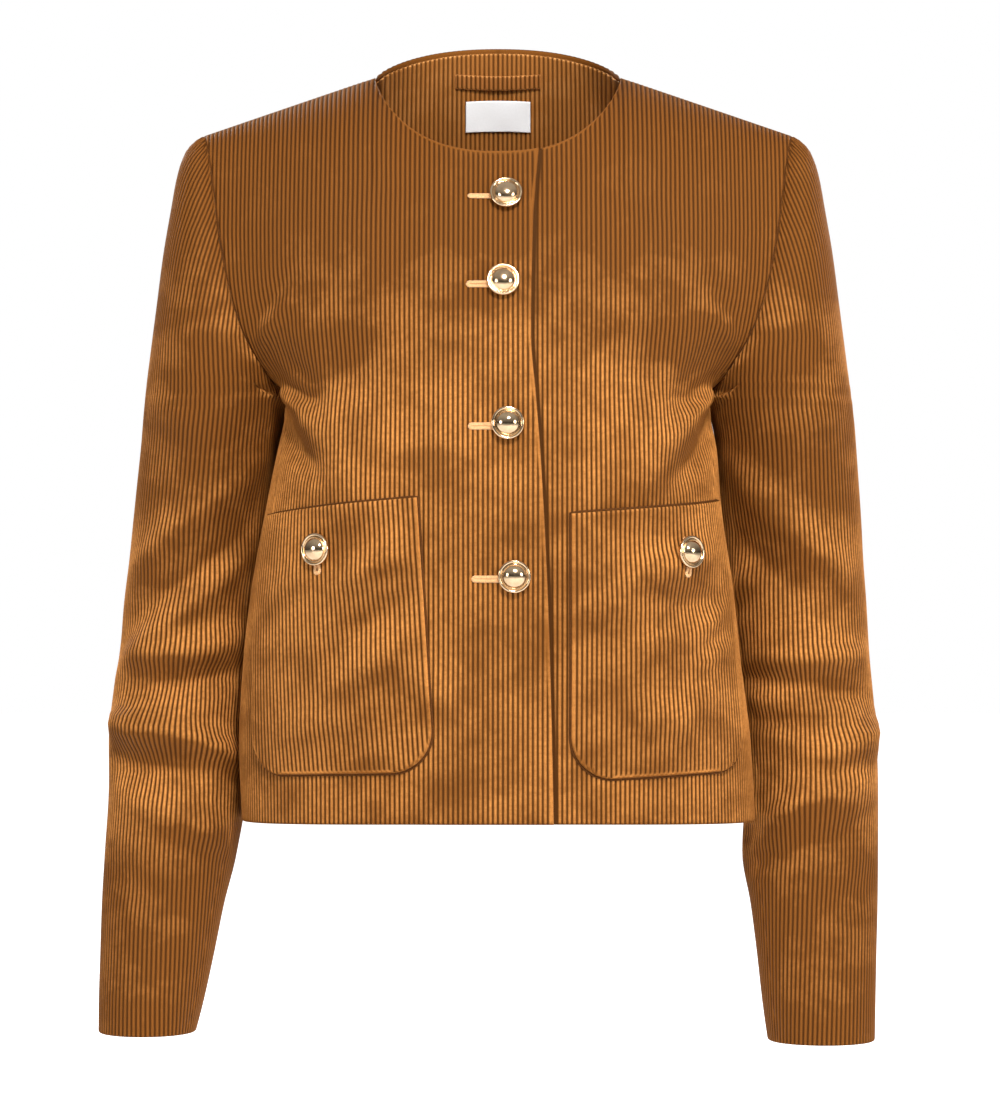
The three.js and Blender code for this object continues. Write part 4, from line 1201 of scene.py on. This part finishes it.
def neck_label():
    def place(across, up):
        below = LABEL_BELOW + LABEL_HEIGHT - up
        wave = np.sin(across / LABEL_WAVE_LENGTH + LABEL_WAVE_START) * np.sin(np.pi * up / LABEL_HEIGHT)
        return on_facing(across, below, LABEL_WALL + LABEL_WAVE * wave)

    edges = (LABEL_EDGE,) * 4
    strip("neck_label", LABEL_HALF, LABEL_HEIGHT, 2, place, edges, LABEL_WALL, LABEL_CLOTH,
          wales=False)


# Buttons and buttonholes

# Radius and height, from the shank round the rim and the groove to the top of the dome
BUTTON_PROFILE = (
    (0, 0), (2.2, 0), (2.3, 0.7), (2.4, 1.5), (6, 1.65), (9.6, 1.9), (10.8, 2.45), (11.3, 3.2), (11.35, 3.9),
    (11.1, 4.6), (10.6, 4.95), (10.0, 4.95), (9.4, 4.6), (9.0, 4.1), (8.7, 3.8), (8.4, 3.85), (8.25, 4.3),
    (8.05, 4.9), (7.5, 5.8), (6.6, 6.75), (5.3, 7.6), (3.8, 8.25), (2.0, 8.68), (0, 8.8),
)
BUTTON_SIDES = 56
# Buttonholes: their slit and stitches, the points of a path, and how far they lie out of the cloth
HOLE_HALF, HOLE_WIDTH, STITCH, STITCH_FLATNESS = 12.5, 1.2, 1.3, 0.6
STITCH_RIPPLE, STITCH_PITCH, STITCH_SIDES = 0.16, 3.3, 8
OUTLINE_POINTS, STITCH_POINTS = 240, 220
EYE_SWELL, EYE_RAMP = 0.5, (-0.6, -0.9)
FRONT_HOLE = {"past": 9.5, "below": 2.0, "away": 0.25}
POCKET_HOLE = {"below": 3.5, "away": POCKET_GAP + WALL + 1.0}
POCKET_BUTTON_AWAY = 1.7 + WALL + BUTTON_LIFT


def button(name, point, normal):
    angles = np.arange(BUTTON_SIDES) * 2 * np.pi / BUTTON_SIDES
    rings = [[(r * math.cos(a), r * math.sin(a), h) for a in angles] for r, h in BUTTON_PROFILE[1:-1]]
    points = np.array([(0, 0, 0), (0, 0, BUTTON_PROFILE[-1][1])] + [p for ring in rings for p in ring])
    ids = 2 + np.arange(len(rings) * BUTTON_SIDES).reshape(len(rings), BUTTON_SIDES)
    nexts = np.roll(ids, -1, axis=1)
    faces = quads(ids[:-1], nexts[:-1], nexts[1:], ids[1:]) + [
        triangles(np.zeros_like(ids[0]), nexts[0], ids[0]),
        triangles(np.ones_like(ids[0]), ids[-1], nexts[-1]),
    ]
    matrix = np.array(Vector((0, 0, 1)).rotation_difference(Vector(normal)).to_matrix())
    points = (points @ matrix.T + point) * MM
    mesh_object(f"{name}_turned", points, np.concatenate(faces), METAL, name)


def ring_of_thread(name, centre, normal, radius, material=SHADOW_THREAD, sides=6, flatness=1.0):
    """A closed round of thread through the centres, flattened along the normals"""
    ahead = np.roll(centre, -1, axis=0) - np.roll(centre, 1, axis=0)
    ahead /= np.linalg.norm(ahead, axis=1)[:, None]
    beside = np.cross(normal, ahead)
    angle = np.arange(sides) * 2 * np.pi / sides
    ring = beside[:, None] * np.cos(angle)[None, :, None]
    ring = ring + normal[:, None] * np.sin(angle)[None, :, None] * flatness
    radius = np.broadcast_to(radius, len(centre))
    points = (centre[:, None] + ring * radius[:, None, None]).reshape(-1, 3)
    ids = np.arange(len(centre) * sides).reshape(len(centre), sides)
    after, turn = np.roll(ids, -1, axis=0), np.roll(ids, -1, axis=1)
    faces = quads(ids, after, np.roll(after, -1, axis=1), turn)
    mesh_object(name, points * MM, np.concatenate(faces), material, None)


def buttonhole(name, place, across, level, upright):
    """A keyhole buttonhole: a stitched rim around a dark slit"""
    turns = np.linspace(0, 2 * np.pi, OUTLINE_POINTS, endpoint=False)
    ahead = np.cos(turns)
    straight = np.sign(ahead) * (HOLE_HALF - HOLE_WIDTH) * np.minimum(1, np.abs(ahead) * 9)
    along = ahead * HOLE_WIDTH * 1.2 + straight
    eye = 1 + EYE_SWELL * smoothstep(*EYE_RAMP, along / HOLE_HALF)
    beside = np.sin(turns) * HOLE_WIDTH * eye
    shape = (beside, along) if upright else (along, beside)
    path = pairs(across + shape[0], level + shape[1])
    steps = np.linalg.norm(np.roll(path, -1, axis=0) - path, axis=1)
    run = np.concatenate([[0], np.cumsum(steps)])
    even = np.linspace(0, run[-1], STITCH_POINTS, endpoint=False)
    closed = np.vstack([path, path[:1]])
    path = [np.interp(even, run, closed[:, i]) for i in (0, 1)]
    ripple = np.sin(np.arange(STITCH_POINTS) * 2 * np.pi / STITCH_PITCH)
    radius = STITCH * (1 + STITCH_RIPPLE * ripple)
    ring_of_thread(name, *place(*path), radius, THREAD, STITCH_SIDES, STITCH_FLATNESS)


SEAM_ROLL_LEVELS = np.linspace(UNDERARM_LEVEL, SHOULDER_LEVEL - 2, 90)
SEAM_ROLL_RADIUS, SEAM_ROLL_DEPTH = 1.5, 2.3


def armhole_seam(side):
    """The turned-in seam allowance, rolled inside the armhole behind the seam, in near-black cord: painted
    shade in the seam
    """
    rounds, ways = [], []
    for half, levels in ((FRONT, SEAM_ROLL_LEVELS), (BACK, SEAM_ROLL_LEVELS[::-1])):
        edge, body_way = body_place(side, half, body_edge(side, half, levels), levels)
        sleeve_way = sleeve_place(side, half, sleeve_edge(side, half, levels), levels)[1]
        rounds.append(edge)
        ways.append(body_way + sleeve_way)
    way = np.concatenate(ways)
    way /= np.linalg.norm(way, axis=1)[:, None]
    centre = np.concatenate(rounds) - way * SEAM_ROLL_DEPTH
    ring_of_thread(f"armhole_seam_{side.name}", centre, way, SEAM_ROLL_RADIUS)


def buttons():
    on_front = partial(laid_on, RIGHT, FRONT, away=FRONT_HOLE["away"])
    for i, (past, level) in enumerate(FRONT_BUTTONS, 1):
        point, normal = laid_on(RIGHT, FRONT, np.array([-past]), np.array([float(level)]), BUTTON_LIFT)
        button(f"front_button_{i}", point[0], normal[0])
        across = FRONT_HOLE["past"] - past / 2
        buttonhole(f"front_buttonhole_{i}", on_front, across, level - FRONT_HOLE["below"], False)
    for side in SIDES:
        shape, _, height = pocket_frame(side)
        along, below = POCKET_BUTTONS[side.name]
        across, level = pocket_spot(shape, along, 1 - below / height)
        point, normal = laid_on(side, FRONT, np.array([across]), np.array([level]), POCKET_BUTTON_AWAY)
        button(f"pocket_button_{side.name}", point[0], normal[0])
        on_pocket = partial(laid_on, side, FRONT, away=POCKET_HOLE["away"])
        buttonhole(f"pocket_buttonhole_{side.name}", on_pocket, across, level - POCKET_HOLE["below"], True)


for each in SIDES:
    front_panel(each)
    side_panel(each)
    upper_sleeve(each)
    under_sleeve(each)
    pocket(each)
back_panel()
facing()
hanger_loop()
neck_label()
buttons()
for each in SIDES:
    armhole_seam(each)
    pocket_shadow_cord(each)


# Floor, light and camera

FLOOR_RADIUS, FLOOR_HEIGHT = 14, -0.95
CAMERA_PLACE, LENS, SENSOR_WIDTH, CLIP_END = (0.00142, -3.2, -0.337), 146.84, 36, 60
LAMP_TARGET = (0, 0, -0.33)
# Name, place, diameter, watts
LAMPS = (
    ("key", (0.4, -2.5, 1.5), 0.5, 102),
    ("fill_left", (-2.3, -2.0, 0.1), 0.9, 20),
    ("fill_right", (2.4, -1.8, 0.2), 0.9, 27),
    ("back_left", (-2.0, 2.3, 1.3), 0.7, 62),
    ("back_right", (2.2, 2.2, 0.8), 0.7, 42),
)


def pale_floor():
    """White where it is seen, so that it has no edge, and lit plainly otherwise"""
    bpy.ops.mesh.primitive_circle_add(
        vertices=96, radius=FLOOR_RADIUS, fill_type="NGON", location=(0, 0, FLOOR_HEIGHT))
    floor = bpy.context.object
    floor.name = "pale_floor"
    material, tree, shader = principled("pale_floor", 0.9)
    position = node(tree, "ShaderNodeTexCoord").outputs["Object"]
    tone = mixed(tree, noise(tree, position, 3.0), (0.93, 0.93, 0.93), (0.9, 0.9, 0.9))
    tree.links.new(tone, shader.inputs["Base Color"])
    shader.inputs["Emission Color"].default_value = (1, 1, 1, 1)
    seen = node(tree, "ShaderNodeLightPath").outputs["Is Camera Ray"]
    tree.links.new(seen, shader.inputs["Emission Strength"])
    floor.data.materials.append(material)


def area_light(name, place, size, power):
    light = bpy.data.lights.new(name, "AREA")
    light.shape, light.size, light.energy = "DISK", size, power
    lamp = bpy.data.objects.new(name, light)
    lamp.location = place
    lamp.rotation_euler = (Vector(LAMP_TARGET) - Vector(place)).to_track_quat("-Z", "Y").to_euler()
    bpy.context.scene.collection.objects.link(lamp)


def studio():
    """Soft light, stronger from above, before a white backdrop"""
    world = bpy.data.worlds.new("pale_studio")
    world.use_nodes = True
    tree = world.node_tree
    light = tree.nodes["Background"]
    light.inputs["Color"].default_value = (1, 1, 1, 1)
    height = part_z(tree, node(tree, "ShaderNodeTexCoord").outputs["Generated"])
    tree.links.new(ramped(tree, height, -0.1, 0.9, 0.04, 0.44), light.inputs["Strength"])
    backdrop = node(tree, "ShaderNodeBackground", {"Color": (1, 1, 1, 1), "Strength": 1.0})
    choice = node(tree, "ShaderNodeMixShader")
    seen = node(tree, "ShaderNodeLightPath").outputs["Is Camera Ray"]
    for socket, output in zip(choice.inputs, (seen, light.outputs[0], backdrop.outputs[0])):
        tree.links.new(output, socket)
    tree.links.new(choice.outputs[0], tree.nodes["World Output"].inputs["Surface"])
    bpy.context.scene.world = world
    for lamp in LAMPS:
        area_light(*lamp)


def camera():
    lens = bpy.data.cameras.new("camera")
    lens.lens, lens.sensor_width, lens.clip_end = LENS, SENSOR_WIDTH, CLIP_END
    seen_from = bpy.data.objects.new("camera", lens)
    seen_from.location = CAMERA_PLACE
    seen_from.rotation_euler = (math.pi / 2, 0, 0)
    bpy.context.scene.collection.objects.link(seen_from)
    bpy.context.scene.camera = seen_from


pale_floor()
studio()
camera()
bpy.context.scene.view_settings.view_transform = "Standard"
